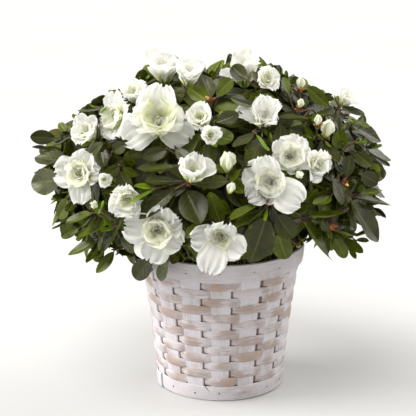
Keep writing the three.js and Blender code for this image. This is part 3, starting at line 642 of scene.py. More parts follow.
def filler_shoots(taken):
    random = random_stream(23)
    shoots = []
    for i in range(FILLER_SHOOTS):
        share = ((i + 0.5) / FILLER_SHOOTS) ** FILLER_CROWDING
        rise = mix(1, LOWEST_SHOOT, share)
        direction = facing(i * FILLER_TURN, math.degrees(math.asin(rise)))
        inset = FILLER_INSET + jitter(random, 0.05)
        draw = next(random)
        size_draw = next(random)
        tip = crown_point(direction, inset)
        if any(np.linalg.norm(other["tip"] - tip) <= FILLER_CLEARANCE for other in taken + shoots):
            continue
        kind, size = "leaves", LEAF_LENGTH * (0.85 + 0.3 * size_draw)
        if direction[1] > FILLER_BLOSSOM_BACK and direction[2] > -0.5:
            if draw < OPEN_SHARE:
                kind, size = "open", mix(*OPEN_SIZES, size_draw)
            elif draw < HALF_SHARE:
                kind, size = "half", mix(*HALF_SIZES, size_draw)
            elif draw < BUD_SHARE:
                kind, size = "bud", BUD_SIZE
        face = unit(crown_normal(tip) + 0.25 * UP)
        shoots.append(dict(tip=tip, face=face, kind=kind, size=size, front=False, row=None))
    return shoots


def share_out(shoots, masses):
    """Gives each shoot to the mass whose middle is nearest."""
    for shoot in shoots:
        distances = [np.linalg.norm(shoot["tip"] - mass["middle"]) for mass in masses]
        masses[int(np.argmin(distances))]["shoots"].append(shoot)


def widest_spread(points):
    """The direction in which points lie furthest apart, by power iteration."""
    offsets = np.array(points) - np.mean(points, axis=0)
    spread = np.array([1, 0.37, 0.21])
    for _ in range(8):
        spread = unit(offsets.T @ (offsets @ spread))
    return spread


def grow_twigs(start, shoots, start_radius, limbs):
    """A limb to the last shoot of the set, and at each fork another for half of those left."""
    points, radii = list(start), [start_radius] * len(start)
    radius = start_radius
    rest = shoots
    while len(rest) > 1:
        knees = [shoot["knee"] for shoot in rest]
        fork = mix(points[-1], np.mean(knees, axis=0), FORK_SHARE)
        radius = max(TWIG_THIN_RADIUS, radius * TWIG_TAPER)
        points.append(fork)
        radii.append(radius)
        spread = widest_spread(knees)
        ranked = sorted(rest, key=lambda shoot: float(shoot["knee"] @ spread))
        half = len(ranked) // 2
        grow_twigs([fork], ranked[:half], max(TWIG_THIN_RADIUS, radius * TWIG_TAPER), limbs)
        rest = ranked[half:]
    points += [rest[0]["knee"], rest[0]["tip"]]
    radii += [TWIG_THIN_RADIUS, TWIG_TIP_RADIUS]
    limbs.append((points, radii))


# Materials


class Skin:
    """A material that is put together from nodes."""

    def __init__(self, name):
        self.material = bpy.data.materials.new(name)
        self.material.use_nodes = True
        self.nodes, self.links = self.material.node_tree.nodes, self.material.node_tree.links
        self.shader = self.nodes["Principled BSDF"]

    def fill(self, node, inputs):
        """Inputs of a node by name or number: each one a value, a colour or another node's output."""
        for name, term in inputs.items():
            socket = node.inputs[name]
            if isinstance(term, bpy.types.NodeSocket):
                self.links.new(term, socket)
            else:
                socket.default_value = (*term, 1) if socket.type == "RGBA" else term
        return node

    def node(self, kind, inputs):
        return self.fill(self.nodes.new(f"ShaderNode{kind}"), inputs)

    def noise(self, scale, detail=3, coordinates="Object", stretch=None):
        place = self.node("TexCoord", {}).outputs[coordinates]
        if stretch:
            place = self.node("Mapping", {"Scale": stretch, "Vector": place}).outputs["Vector"]
        return self.node("TexNoise", {"Scale": scale, "Detail": detail, "Vector": place}).outputs["Fac"]

    def ramp(self, source, stops):
        """Colours along a value: stops are (position, colour)."""
        node = self.node("ValToRGB", {"Fac": source})
        elements = node.color_ramp.elements
        while len(elements) < len(stops):
            elements.new(0.5)
        for element, (position, colour) in zip(elements, stops):
            element.position = position
            element.color = (*colour, 1)
        return node.outputs["Color"]

    def bump(self, source, strength, distance, normal=None):
        node = self.node("Bump", {"Strength": strength, "Distance": distance, "Height": source})
        if normal:
            self.links.new(normal, node.inputs["Normal"])
        return node.outputs["Normal"]

    def map_parts(self):
        """The two numbers of the map."""
        split = self.node("SeparateXYZ", {0: self.node("TexCoord", {}).outputs["UV"]})
        return split.outputs["X"], split.outputs["Y"]

    def maths(self, operation, *terms):
        """A Math node; a term is a number or an output."""
        node = self.nodes.new("ShaderNodeMath")
        node.operation = operation
        return self.fill(node, dict(enumerate(terms))).outputs[0]

    def mixed(self, share, first, second, blend="MIX"):
        """Two colours, mixed by a share; the colours have the numbers 6 and 7 among the inputs."""
        node = self.nodes.new("ShaderNodeMix")
        node.data_type, node.blend_type = "RGBA", blend
        return self.fill(node, {0: share, 6: first, 7: second}).outputs[2]

    def see_through(self, colour, share):
        """Lets some light pass through a thin sheet."""
        glow = self.node("BsdfTranslucent", {"Color": colour}).outputs["BSDF"]
        blend = self.node("MixShader", {"Fac": share, 1: self.shader.outputs["BSDF"], 2: glow})
        self.links.new(blend.outputs["Shader"], self.nodes["Material Output"].inputs["Surface"])


SIDE_VEINS = 7


def leaf_material(name, dark, light, rib, roughness, gloss, glow):
    """Leaf skin with blotches of two greens, a paler midrib and sunken side veins."""
    skin = Skin(name)
    blotches = skin.ramp(skin.noise(42), [(0.34, dark), (0.66, light)])
    across, along = skin.map_parts()
    aside = skin.maths("ABSOLUTE", across)
    slanted = skin.maths("MULTIPLY_ADD", aside, -0.3, along)
    wave = skin.maths("COSINE", skin.maths("MULTIPLY", slanted, 2 * math.pi * SIDE_VEINS))
    midrib = skin.maths("MULTIPLY_ADD", aside, -9.0, 1.0)
    vein = skin.maths("MULTIPLY", skin.maths("POWER", skin.maths("MAXIMUM", wave, 0.0), 9.0), 0.09)
    line = skin.maths("MAXIMUM", skin.maths("MAXIMUM", midrib, vein), 0.0)
    tint = skin.mixed(line, blotches, rib)
    grain = skin.bump(skin.noise(700, 2), 0.2, 0.0005)
    puckers = skin.bump(skin.noise(130, 2), 0.4, 0.002, grain)
    surface = {
        "Base Color": tint,
        "Roughness": roughness,
        "Specular IOR Level": 0.12,
        "Coat Weight": gloss,
        "Coat Roughness": 0.22,
        "Normal": skin.bump(wave, 0.2, 0.0006, puckers),
    }
    skin.fill(skin.shader, surface)
    if glow:
        skin.see_through(tint, glow)
    return skin.material


def petal_material(name, throat, cream, white, throat_end, white_start, glow):
    """A thin petal: yellow-green at its foot, white beyond, soft and a little see-through."""
    skin = Skin(name)
    _, along = skin.map_parts()
    uneven = skin.maths("MULTIPLY_ADD", skin.noise(70), 0.3, along)
    stops = [(throat_end, throat), (0.5 * (throat_end + white_start), cream), (white_start, white)]
    tint = skin.ramp(skin.maths("SUBTRACT", uneven, 0.15), stops)
    veins = skin.noise(3, 2, "UV", (8, 0.8, 1))
    crepe = skin.bump(skin.noise(380), 0.2, 0.0006)
    relief = skin.bump(veins, 0.35, 0.001, crepe)
    surface = {"Base Color": tint, "Roughness": 0.5, "Specular IOR Level": 0.3, "Normal": relief}
    skin.fill(skin.shader, surface)
    skin.see_through(tint, glow)
    return skin.material


def plain_material(name, dark, light, roughness, scale=60, grain_scale=300, grain=0.3, grain_depth=0.0008):
    """Two colours in blotches with a fine grain."""
    skin = Skin(name)
    tint = skin.ramp(skin.noise(scale, 4), [(0.32, dark), (0.68, light)])
    relief = skin.bump(skin.noise(grain_scale, 4), grain, grain_depth)
    skin.fill(skin.shader, {"Base Color": tint, "Roughness": roughness, "Normal": relief})
    return skin.material


def splint_material(name, colours, bare_share, wavy):
    """Whitewashed splint: bare wood shows down its middle and, on a weaver, where it passes outside; where a
    weaver dives deep behind a stave it is painted dark brown as painted shade.
    """
    skin = Skin(name)
    along, across = skin.map_parts()
    aside = skin.maths("ABSOLUTE", across)
    grain = skin.noise(1, 4, "UV", (2.2, 4, 1))
    fine = skin.noise(1, 3, "UV", (4, 26, 1))
    bare_wood = skin.maths("MULTIPLY_ADD", skin.noise(34), 3.4, -1.7 + bare_share)
    bare_wood = skin.maths("MULTIPLY_ADD", grain, 1.5, skin.maths("ADD", bare_wood, -0.75))
    if wavy:
        outside = skin.maths("COSINE", skin.maths("MULTIPLY", along, 2 * math.pi))
        bare_wood = skin.maths("MULTIPLY_ADD", outside, 0.3, bare_wood)
    bare_wood = skin.maths("MULTIPLY_ADD", aside, -0.25, bare_wood)
    tint = skin.ramp(bare_wood, list(zip((0.0, 0.35, 0.9), colours)))
    if wavy:
        # Painted shade: dark brown where a weaver dives deep behind a stave, standing in for the shadowed
        # slits beside the staves' edges, on wood that the wash does not reach.
        painted_slit_shade = skin.maths("MAXIMUM", skin.maths("MULTIPLY_ADD", outside, -9.0, -4.4), 0.0)
        tint = skin.mixed(skin.maths("MINIMUM", painted_slit_shade, 1.0), tint, (0.15, 0.1, 0.08))
    scratched = skin.ramp(fine, [(0.3, (0.62, 0.59, 0.62)), (0.55, (1.0, 1.0, 1.0))])
    shade = skin.mixed(0.66, tint, scratched, "MULTIPLY")
    relief = skin.bump(fine, 0.5, 0.0006, skin.bump(grain, 0.4, 0.001))
    skin.fill(skin.shader, {"Base Color": shade, "Roughness": 0.62, "Normal": relief})
    return skin.material


# Basket


def basket_radius(height):
    share = np.asarray(height, dtype=float) / BASKET_HEIGHT
    flare = STRAIGHT_FLARE * share + (1 - STRAIGHT_FLARE) * share**2
    return FOOT_RADIUS + (RIM_RADIUS - FOOT_RADIUS) * flare


def weave_rows():
    """Middle heights of the weavers, from the top row down, and the height of a row."""
    pitch = (RIM_BAND_FOOT - FOOT_BAND_HEIGHT) / WEAVER_ROWS
    return [RIM_BAND_FOOT - (row + 0.5) * pitch for row in range(WEAVER_ROWS)], pitch


def weave_swing(stave_phase, row):
    """1 where the weaver of a row passes over a stave and -1 where it passes behind it."""
    over = 1 if row % 2 == 0 else -1
    wave = over * np.cos(math.pi * stave_phase)
    return 0.75 * np.sin(np.clip(2.1 * wave, -1, 1) * math.pi / 2) + 0.25 * wave


# Section of a splint: place across its width, height over its middle and number of its map
SPLINT_SECTION = np.array(
    [
        (-0.5, -0.25, -1.0),
        (-0.46, 0.4, -0.92),
        (-0.2, 0.5, -0.4),
        (0.2, 0.5, 0.4),
        (0.46, 0.4, 0.92),
        (0.5, -0.25, 1.0),
        (0.44, -0.5, 0.88),
        (-0.44, -0.5, -0.88),
    ]
)


def add_strip(sheaf, path, across, outwards, width, thickness, paint, crown, lengths):
    """A closed strip of splint along a path; crown is what its middle stands out, as a share."""
    places, heights, marks = SPLINT_SECTION.T
    width = np.broadcast_to(width, len(path))
    lift = heights * thickness + np.where(np.abs(places) < 0.3, crown * thickness, 0)
    points = (
        path[:, None, :]
        + across[:, None, :] * (places[None, :, None] * width[:, None, None])
        + outwards[:, None, :] * lift[None, :, None]
    )
    rows, columns = len(path), len(SPLINT_SECTION)
    first = sheaf.count
    faces = grid_faces(rows, columns, loop_columns=True)
    sheaf.add(points.reshape(-1, 3), faces, paint, uv_grid(lengths[:, None], marks[None, :]))
    ring = list(range(columns))
    sheaf.close([ring], paint, first)
    sheaf.close([ring[::-1]], paint, sheaf.count - columns)


def ring_place(angles):
    """Outward directions at angles round the upright axis, with 0 at the front."""
    return np.stack([np.sin(angles), -np.cos(angles), np.zeros_like(angles)], -1)


def on_wall(outwards, radius, z):
    """Points at radii and heights in outward directions."""
    return outwards * radius[:, None] + z[:, None] * UP


def unit_rows(vectors):
    return vectors / np.linalg.norm(vectors, axis=1)[:, None]


def make_staves():
    sheaf = Sheaf()
    random = random_stream(5)
    heights, _ = weave_rows()
    z = np.linspace(1, BASKET_HEIGHT - 1.2, 88)
    pitch = 2 * math.pi / STAVES
    for k in range(STAVES):
        lean = jitter(random, 0.012)
        angle = k * pitch + lean + 0.006 * np.sin(z / 31 + 6 * next(random))
        outwards = ring_place(angle)
        across = np.stack([np.cos(angle), np.sin(angle), np.zeros_like(angle)], -1)
        row = np.interp(z, heights[::-1], np.arange(WEAVER_ROWS)[::-1])
        sway = -0.25 * np.cos(math.pi * row) * (1 if k % 2 == 0 else -1)
        inside = (z > FOOT_BAND_HEIGHT) & (z < RIM_BAND_FOOT)
        radius = basket_radius(z) - STAVE_INSET + np.where(inside, sway, 0)
        width = STAVE_SHARE * pitch * radius * (0.97 + 0.06 * next(random))
        path = on_wall(outwards, radius, z)
        add_strip(sheaf, path, across, outwards, width, STAVE_THICKNESS, 0, 0.15, z / 40 + 3.7 * k)
    return sheaf


def make_weavers(sheaf, paints):
    """The woven rows, each one ring that swings out over a stave and in behind the next."""
    random = random_stream(6)
    heights, pitch_height = weave_rows()
    angles = np.linspace(0, 2 * math.pi, STAVES * 16 + 1)
    stave_phase = angles / (2 * math.pi / STAVES) - WEAVE_LAG * (1 + 1.5 * np.clip(np.sin(angles), 0, 1))
    outwards = ring_place(angles)
    wander = 0.3 * np.sin(3 * angles + 1) + 0.15 * np.sin(7 * angles + 4)
    for row, height in enumerate(heights):
        swing = weave_swing(stave_phase, row) * WEAVE_SWING * (0.92 + 0.16 * next(random))
        z = height + wander
        path = on_wall(outwards, basket_radius(z) - STAVE_INSET + swing, z)
        slope = (basket_radius(z + 1) - basket_radius(z - 1)) / 2
        across = unit_rows(outwards * slope[:, None] + UP)
        spread = 1 + np.where(swing > 0, 0.15, 0.09) * (swing / WEAVE_SWING) ** 2
        width = (pitch_height + WEAVER_LAP) * (spread + 0.015 * np.sin(5 * angles + 6 * next(random)))
        paint = paints[int(next(random) * len(paints))]
        along = (stave_phase + row % 2) / 2 + 17 * row
        add_strip(sheaf, path, across, outwards, width, WEAVER_THICKNESS, paint, 0.8, along)


def band_wobble(angles, bottom):
    return 0.25 * np.sin(2 * angles + bottom) + 0.12 * np.sin(5 * angles)


def make_band(sheaf, bottom, top, inset, start, lift=0, thickness=BAND_THICKNESS, lean=1.0, rise=0.0):
    """A band bent round the staves, its far end lapped over its start and lifted a little."""
    start = math.radians(start)
    turn = 2 * math.pi + BAND_OVERLAP
    angles = start + np.linspace(0, turn, 150)
    middle, height = (bottom + top) / 2, top - bottom
    lapped = np.clip((angles - start - 2 * math.pi + LAP_CLIMB) / LAP_CLIMB, 0, 1)
    free = np.clip((angles - start - turn + LAP_FREE) / LAP_FREE, 0, 1)
    radius = basket_radius(middle) - inset - thickness / 2 + band_wobble(angles, bottom)
    radius = radius + lapped * (thickness + 0.1) + lift * free**2
    outwards = ring_place(angles)
    slope = lean * float(basket_radius(top) - basket_radius(bottom)) / height
    across = unit_rows(outwards * slope + UP)
    z = middle + 0.3 * np.sin(3 * angles + top) + rise * np.clip(np.cos(angles - RIM_HIGH_SIDE), 0, 1) ** 6
    path = on_wall(outwards, radius, z)
    add_strip(sheaf, path, across, outwards, height, thickness, 0, 0.1, angles * 1.1 + bottom)


def make_nails(sheaf, height, stand, paint):
    """Nail heads round a band, one for each stave."""
    random = random_stream(int(height))
    for k in range(STAVES):
        angle = (k + jitter(random, 0.12)) * 2 * math.pi / STAVES
        z = height + jitter(random, 2.4)
        outwards = ring_place(np.array([angle]))[0]
        centre = outwards * (float(basket_radius(z)) - 0.2 + stand) + z * UP
        _, side, out = axes_along(outwards)
        rings = [
            centre + NAIL_RADIUS * (radius * around(even_angles(NAIL_SIDES), side, out) + rise * outwards)
            for radius, rise in ((1, 0), (0.8, 0.45), (0.35, 0.65))
        ]
        sheaf.add(np.concatenate(rings), grid_faces(3, NAIL_SIDES, loop_columns=True), paint)
        sheaf.close([list(range(NAIL_SIDES))], paint, sheaf.count - NAIL_SIDES)


def make_crack(sheaf, paint):
    """A thin dark split down the foot band from its top edge."""
    angles = np.radians([angle for angle, _ in FOOT_CRACK])
    z = np.array([height for _, height in FOOT_CRACK])
    outwards = ring_place(angles)
    path = on_wall(outwards, basket_radius(z) + band_wobble(angles, 0.3) + 0.12, z)
    across = unit_rows(np.cross(outwards, np.gradient(path, axis=0)))
    width = np.array([0.8, 0.7, 0.5, 0.25])
    add_strip(sheaf, path, across, outwards, width, 0.3, paint, 0, np.linspace(0, 1, len(path)))


def build_basket():
    wash = (0.6, 0.555, 0.57)
    weaver = (wash, (0.445, 0.375, 0.36), (0.42, 0.305, 0.24))
    stave = ((0.62, 0.59, 0.63), (0.54, 0.5, 0.515), (0.46, 0.39, 0.365))
    band = ((0.6, 0.565, 0.59), (0.53, 0.49, 0.505), (0.43, 0.375, 0.365))
    splints = [
        splint_material("stave_splint", stave, 0.12, False),
        splint_material("weaver_pale", weaver, 0.0, True),
        splint_material("weaver_bare", weaver, 0.2, True),
    ]
    staves = make_staves()
    make_weavers(staves, [1, 2, 2])
    staves.build("woven_splints", splints, "splint", ["basket_weave"], 40)
    bands = [
        splint_material("band_splint", band, 0.1, False),
        plain_material("nail_heads", (0.03, 0.02, 0.02), (0.1, 0.06, 0.05), 0.6),
    ]
    rim = Sheaf()
    make_band(rim, RIM_BAND_FOOT, BASKET_HEIGHT, -0.6, 72, 1.2, lean=0.6, rise=2.6)
    make_band(rim, RIM_BAND_FOOT + 2, BASKET_HEIGHT - 0.5, 3.4, 200, thickness=1.5, rise=2.2)
    make_nails(rim, BASKET_HEIGHT - RIM_BAND_HEIGHT / 2, 0.6, 1)
    rim.build("rim_band", bands, "band", ["basket_rim_band"], 40)
    foot = Sheaf()
    make_band(foot, 0.3, FOOT_BAND_HEIGHT, 0, -75)
    make_nails(foot, FOOT_BAND_HEIGHT / 2, 0, 1)
    make_crack(foot, 1)
    foot.build("foot_band", bands, "band", ["basket_foot_band"], 40)
    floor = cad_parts["basket_floor"]
    floor.data.materials.clear()
    floor.data.materials.append(plain_material("basket_floor_wood", (0.5, 0.4, 0.33), wash, 0.8))


# Root ball


def level_ring(radius, angles, height):
    """Points round the upright axis, with 0 at +X."""
    parts = radius * np.cos(angles), radius * np.sin(angles), height
    return np.stack(np.broadcast_arrays(*parts), -1)


def soil_height(distance):
    edge = float(basket_radius(SOIL_EDGE_HEIGHT)) - WALL_THICKNESS
    share = np.clip((distance - SOIL_TOP_FLAT) / (edge - SOIL_TOP_FLAT), 0, None)
    return SOIL_TOP_HEIGHT - (SOIL_TOP_HEIGHT - SOIL_EDGE_HEIGHT) * share**2


def lumps(x, y, seed):
    """A smooth field of humps from a few crossed waves."""
    random = random_stream(seed)
    total = 0
    for wavelength in (34, 21, 13, 8):
        turn = 2 * math.pi * next(random)
        phase = 2 * math.pi * next(random)
        total = total + np.sin((x * math.cos(turn) + y * math.sin(turn)) * 2 * math.pi / wavelength + phase)
        total = total + np.sin((x * math.sin(turn) - y * math.cos(turn)) * 2 * math.pi / wavelength - phase)
    return total / 8


def moss_rise(x, y):
    """How far moss lifts the surface: a low ring by the wall and a tuft at the right."""
    ring = np.clip((np.hypot(x, y) - 45) / 30, 0, 1)
    tuft = np.exp(-(((x - MOSS_TUFT[0]) / 12) ** 2) - ((y - MOSS_TUFT[1]) / 20) ** 2)
    return ring * (4.5 + 3 * lumps(x, y, 8)) + 20 * tuft


def moss_height(x, y):
    return soil_height(np.hypot(x, y)) + 2 * lumps(x, y, 8) + moss_rise(x, y)


def moss_clumps():
    """Centres and sizes of the clumps of moss that lie on the soil and the rim at the right."""
    random = random_stream(67)
    clumps = []
    for _ in range(MOSS_CLUMPS):
        angle = math.radians(mix(*CLUMP_TURNS, next(random)))
        far = mix(*CLUMP_REACH, next(random))
        size = mix(*CLUMP_SIZES, next(random))
        x, y = far * math.cos(angle), far * math.sin(angle)
        rest = float(moss_height(x, y))
        if far > RIM_REACH:
            rest = max(rest, BASKET_HEIGHT + 1.5)
        clumps.append((np.array([x, y, rest + 0.5 * size + 2.5 * next(random) ** 2]), size))
    return clumps


def add_strand(sheaf, foot, lean, length, paint):
    """A blade of moss with a flat foot, a fold down its middle and a point."""
    _, side, out = axes_along(lean)
    blade = np.array([foot - 0.7 * side, foot + 0.7 * side, foot + 0.55 * length * lean + 0.9 * out])
    blade = np.vstack([blade, foot + length * lean, foot + 0.55 * length * lean - 0.9 * out])
    sheaf.add(blade, [[0, 1, 2], [0, 2, 4], [1, 4, 2], [2, 3, 4], [4, 3, 2]], paint)


# Rings of a clump of moss: radius and height, as shares of its size
CLUMP_RINGS = [(0.4, -0.8), (0.85, -0.3), (1, 0.2), (0.75, 0.7), (0.3, 0.95)]
CLUMP_SIDES = 9


def add_clump(sheaf, centre, size, random):
    """A lump of moss with short strands all over it."""
    paint = 1 if next(random) < 0.6 else 2
    turn = even_angles(CLUMP_SIDES)
    rings = []
    for radius, rise in CLUMP_RINGS:
        uneven = radius * (1 + 0.2 * np.sin(3 * turn + 6 * next(random)))
        rings.append(centre + size * level_ring(uneven, turn, rise))
    first = sheaf.count
    sheaf.add(np.concatenate(rings), grid_faces(len(rings), CLUMP_SIDES, loop_columns=True), paint)
    ring = list(range(CLUMP_SIDES))
    sheaf.close([ring[::-1]], paint, first)
    sheaf.close([ring], paint, sheaf.count - CLUMP_SIDES)
    for _ in range(CLUMP_STRANDS):
        lean = facing(360 * next(random), mix(-10, 90, next(random)))
        length = 2 + 2 * next(random)
        add_strand(sheaf, centre + 0.8 * size * lean, lean, length, 1 if next(random) < 0.8 else 2)


def add_soil(sheaf, edge):
    """The ball of soil: its uneven top, painted as moss near the tuft, its wall and its flat foot."""
    rings, sides = 34, 110
    angles = even_angles(sides)
    r, a = np.meshgrid(np.linspace(0.5, edge, rings), angles, indexing="ij")
    x, y = r * np.cos(a), r * np.sin(a)
    levels = [np.stack([x, y, moss_height(x, y)], -1).reshape(-1, 3)]
    for height in (140, 60, FLOOR_THICKNESS + GAP):
        radius = float(basket_radius(height)) - WALL_THICKNESS - 1.5
        levels.append(level_ring(radius, angles, height))
    skin = grid_faces(rings + 3, sides, loop_columns=True)[:, ::-1]
    mossy = np.hypot(x - MOSS_TUFT[0], y - MOSS_TUFT[1]).ravel()[: (rings - 1) * sides] < MOSS_TUFT_RADIUS
    paints = np.concatenate([np.where(mossy, 1, 0), np.full(len(skin) - len(mossy), 3)])
    sheaf.add(np.concatenate(levels), skin, paints)
    ring = list(range(sides))
    sheaf.close([ring], 0)
    sheaf.close([ring[::-1]], 3, sheaf.count - sides)


def add_moss(sheaf, edge, random):
    """Strands over the soil, densest by the wall and in the tuft, and the clumps at the right."""
    for strand in range(MOSS_STRANDS + TUFT_STRANDS):
        far = edge * math.sqrt(0.18 + 0.82 * next(random))
        angle = 2 * math.pi * next(random)
        length = 3 + 4.5 * next(random)
        lean = facing(360 * next(random), 25 + 60 * next(random))
        green = next(random)
        spot = np.array([far * math.cos(angle), far * math.sin(angle)])
        if strand >= MOSS_STRANDS:
            spot = MOSS_TUFT + spot * 15 / edge
            far = float(np.hypot(*spot))
            if far > edge:
                continue
        tuft = np.hypot(*(spot - MOSS_TUFT)) < MOSS_TUFT_RADIUS
        if not tuft and lumps(*spot, 9) < 0.25 - 0.9 * (far / edge) ** 3:
            continue
        foot = np.array([*spot, float(moss_height(*spot)) - 0.5])
        add_strand(sheaf, foot, lean, length, 1 if green < (0.85 if tuft else 0.6) else 2)
    for centre, size in moss_clumps():
        add_clump(sheaf, centre, size, random)


def build_root_ball():
    edge = float(basket_radius(SOIL_EDGE_HEIGHT)) - WALL_THICKNESS - 0.8
    sheaf = Sheaf()
    add_soil(sheaf, edge)
    add_moss(sheaf, edge, random_stream(31))
    paints = [
        plain_material("dark_soil", (0.012, 0.009, 0.006), (0.05, 0.035, 0.02), 0.95, 150, 500, 0.8, 0.003),
        # Light moss: its own yellow-green, made far brighter than moss is as painted light for the window
        # light that falls on the tuft.
        plain_material("moss_yellow_painted_lit", (0.52, 0.46, 0.06), (0.88, 0.8, 0.24), 0.9, 200),
        plain_material("moss_dark", (0.07, 0.075, 0.012), (0.15, 0.14, 0.02), 0.9, 200),
        plain_material("root_mat", (0.1, 0.065, 0.045), (0.2, 0.14, 0.1), 0.9, 120, 400, 0.6, 0.002),
    ]
    sheaf.build("mossy_root_ball", paints, "moss_and_soil", ["root_ball"])


# Trunk and boughs


def bark_relief(seed, depth):
    """Shallow furrows that run along a limb, with a few knots."""
    random = random_stream(seed)
    turns = [2 * math.pi * next(random) for _ in range(6)]

    def relief(i, angles):
        furrows = np.sin(5 * angles + turns[0] + 0.5 * math.sin(i * 0.7 + turns[1]))
        fine = np.sin(9 * angles + turns[2] + i * 0.35)
        knots = math.sin(i * 1.3 + turns[3]) * np.sin(2 * angles + turns[4])
        return depth * (0.5 * furrows + 0.25 * fine + 0.35 * knots)

    return relief


def build_limbs(masses, bark):
    t = np.linspace(0, 1, 22)
    path = mix(TRUNK_FOOT[None, :], TRUNK_FORK[None, :], t[:, None])
    radii = mix(TRUNK_FOOT_RADIUS, TRUNK_TIP_RADIUS, t)
    knotty = bark_relief(3, 0.06)

    def flared(i, angles):
        flare = ROOT_FLARE * math.exp(-6 * t[i]) / radii[i]
        return knotty(i, angles) + flare * (0.65 + 0.35 * np.cos(ROOT_FLARE_LOBES * angles))

    points = limb_points(path, radii, TRUNK_SIDES, flared)
    points[:TRUNK_SIDES, 2] = TRUNK_FOOT[2]
    trunk = Sheaf()
    trunk.add(points, grid_faces(len(path), TRUNK_SIDES, loop_columns=True))
    ring = list(range(TRUNK_SIDES))
    trunk.close([ring[::-1]], 0)
    trunk.close([ring], 0, len(points) - TRUNK_SIDES)
    trunk.build("bark_trunk", [bark], "bark", ["trunk"])
    boughs = Sheaf()
    for number, mass in enumerate(masses):
        t = np.linspace(0, 1, 14)[:, None]
        start, bend, end = mass["leaves"], mass["bend"], mass["bough_tip"]
        path = (1 - t) ** 2 * start + 2 * t * (1 - t) * bend + t**2 * end
        radii = mix(BOUGH_BASE_RADIUS, BOUGH_TIP_RADIUS, t[:, 0])
        add_limb(boughs, path, radii, BOUGH_SIDES, 0, bark_relief(40 + number, 0.05))
    boughs.build("bark_boughs", [bark], "bark", [f"bough_{mass['name']}" for mass in masses])


# Leaves

LEAF_ROWS = np.array([0, 0.07, 0.15, 0.27, 0.4, 0.54, 0.67, 0.79, 0.89, 0.96, 1.0])
LEAF_COLUMNS = np.array([-1, -0.66, -0.33, -0.07, 0.07, 0.33, 0.66, 1])
PETIOLE = 0.07


def leaf_outline(t, point):
    """Half width along the leaf as a share: a short stalk, then an oval with a more or less pointed tip."""
    q = np.clip((t - PETIOLE) / (1 - PETIOLE), 0, 1)
    widest = 0.75 / (0.75 + point)
    return np.maximum(q**0.75 * (1 - q) ** point / (widest**0.75 * (1 - widest) ** point), 0.03)


def leaf_surface(base, direction, upwards, length, shape, rows, columns):
    """Points of a leaf: bent down along its length, folded or cupped across, with a wavy edge."""
    t, s = rows[:, None], columns[None, :]
    droop = shape["droop"] if abs(shape["droop"]) > 1e-3 else 1e-3
    bend = droop * (t - 0.5)
    curve = droop / length
    reach = (np.sin(bend) + math.sin(droop / 2)) / curve
    sink = (math.cos(droop / 2) - np.cos(bend)) / curve
    half = 0.5 * shape["width"] * leaf_outline(t, shape["point"])
    lift = half * (shape["fold"] * np.abs(s) ** 1.3 - shape["recurve"] * s**4)
    lift = lift + shape["wave"] * half * s**2 * np.sin(2 * math.pi * (1.6 * t + shape["phase"]) + 1.2 * s)
    across = s * half + shape["sweep"] * length * (t**2 - t)
    along = reach + lift * np.sin(bend)
    height = sink + lift * np.cos(bend)
    axes = np.array(axes_along(direction, upwards))
    normal = np.stack(np.broadcast_arrays(np.sin(bend), 0 * across, np.cos(bend)), -1)
    return base + np.stack(np.broadcast_arrays(along, across, height), -1) @ axes, normal @ axes


def surface_points(leaf, rows, columns):
    """Points of a leaf on a grid of its own, in one list."""
    return leaf_surface(*leaf, rows, columns)[0].reshape(-1, 3)


LEAF_FACES = grid_faces(len(LEAF_ROWS), len(LEAF_COLUMNS))
LEAF_MAP = uv_grid(LEAF_COLUMNS[None, :], LEAF_ROWS[:, None])
BOTH_SKINS = np.concatenate([LEAF_FACES, LEAF_FACES[:, ::-1] + len(LEAF_MAP)])


def add_leaf(sheaf, leaf, tone):
    """A leaf with its upper skin, its sunken midrib and its paler underside."""
    upper, normal = leaf_surface(*leaf, LEAF_ROWS, LEAF_COLUMNS)
    columns = LEAF_COLUMNS[None, :, None]
    thin = LEAF_THICKNESS * (1 - 0.92 * columns**4)
    rib = np.exp(-((columns / 0.12) ** 2)) * (1 - LEAF_ROWS[:, None, None])
    lower = upper - normal * (thin + 0.7 * rib)
    upper = upper - normal * (0.4 * np.exp(-((columns / 0.1) ** 2)))
    points = np.concatenate([upper.reshape(-1, 3), lower.reshape(-1, 3)])
    paints = np.repeat([tone, tone + 1], len(LEAF_FACES))
    sheaf.add(points, BOTH_SKINS, paints, np.concatenate([LEAF_MAP, LEAF_MAP]))


def ball_round(points):
    """Centre and radius of a ball that holds points."""
    centre = (points.min(axis=0) + points.max(axis=0)) / 2
    return centre, float(np.max(np.linalg.norm(points - centre, axis=1)))


def tree_of(points, faces):
    return BVHTree.FromPolygons([Vector(p) for p in points.tolist()], [tuple(f) for f in faces])


class Crowd:
    """What is already placed, to keep new leaves clear of it."""

    def __init__(self):
        self.centres, self.radii, self.trees, self.owners = [], [], [], []

    def add(self, points, faces, owner=None):
        centre, radius = ball_round(points)
        self.centres.append(centre)
        self.radii.append(radius)
        self.trees.append(tree_of(points, faces))
        self.owners.append(owner)

    def meets(self, points, faces, owner=None):
        """Whether a mesh crosses one that is already in, apart from those of the same owner."""
        centre, radius = ball_round(points)
        distances = np.linalg.norm(np.array(self.centres) - centre, axis=1)
        near = np.nonzero(distances < np.array(self.radii) + radius)[0]
        if not len(near):
            return False
        tree = tree_of(points, faces)
        return any(tree.overlap(self.trees[i]) for i in near if owner is None or self.owners[i] is not owner)


CHECK_GRID = (np.array([0.14, 0.4, 0.7, 1.0]), np.array([-0.9, 0.0, 0.9]))
CHECK_FACES = grid_faces(4, 3).tolist()
SIGHT_GRID = (np.linspace(0.1, 1, 24), np.linspace(-1, 1, 13))
SEEN_LEAF_ROOM = 1.6
SIDE_TWIG_BENDS = [0.3, 0.55, 0.8, 1.1]
SIDE_TWIG_RADIUS = 0.9
SHADE_HEIGHT = 70
SHADE_SHARE = 0.4


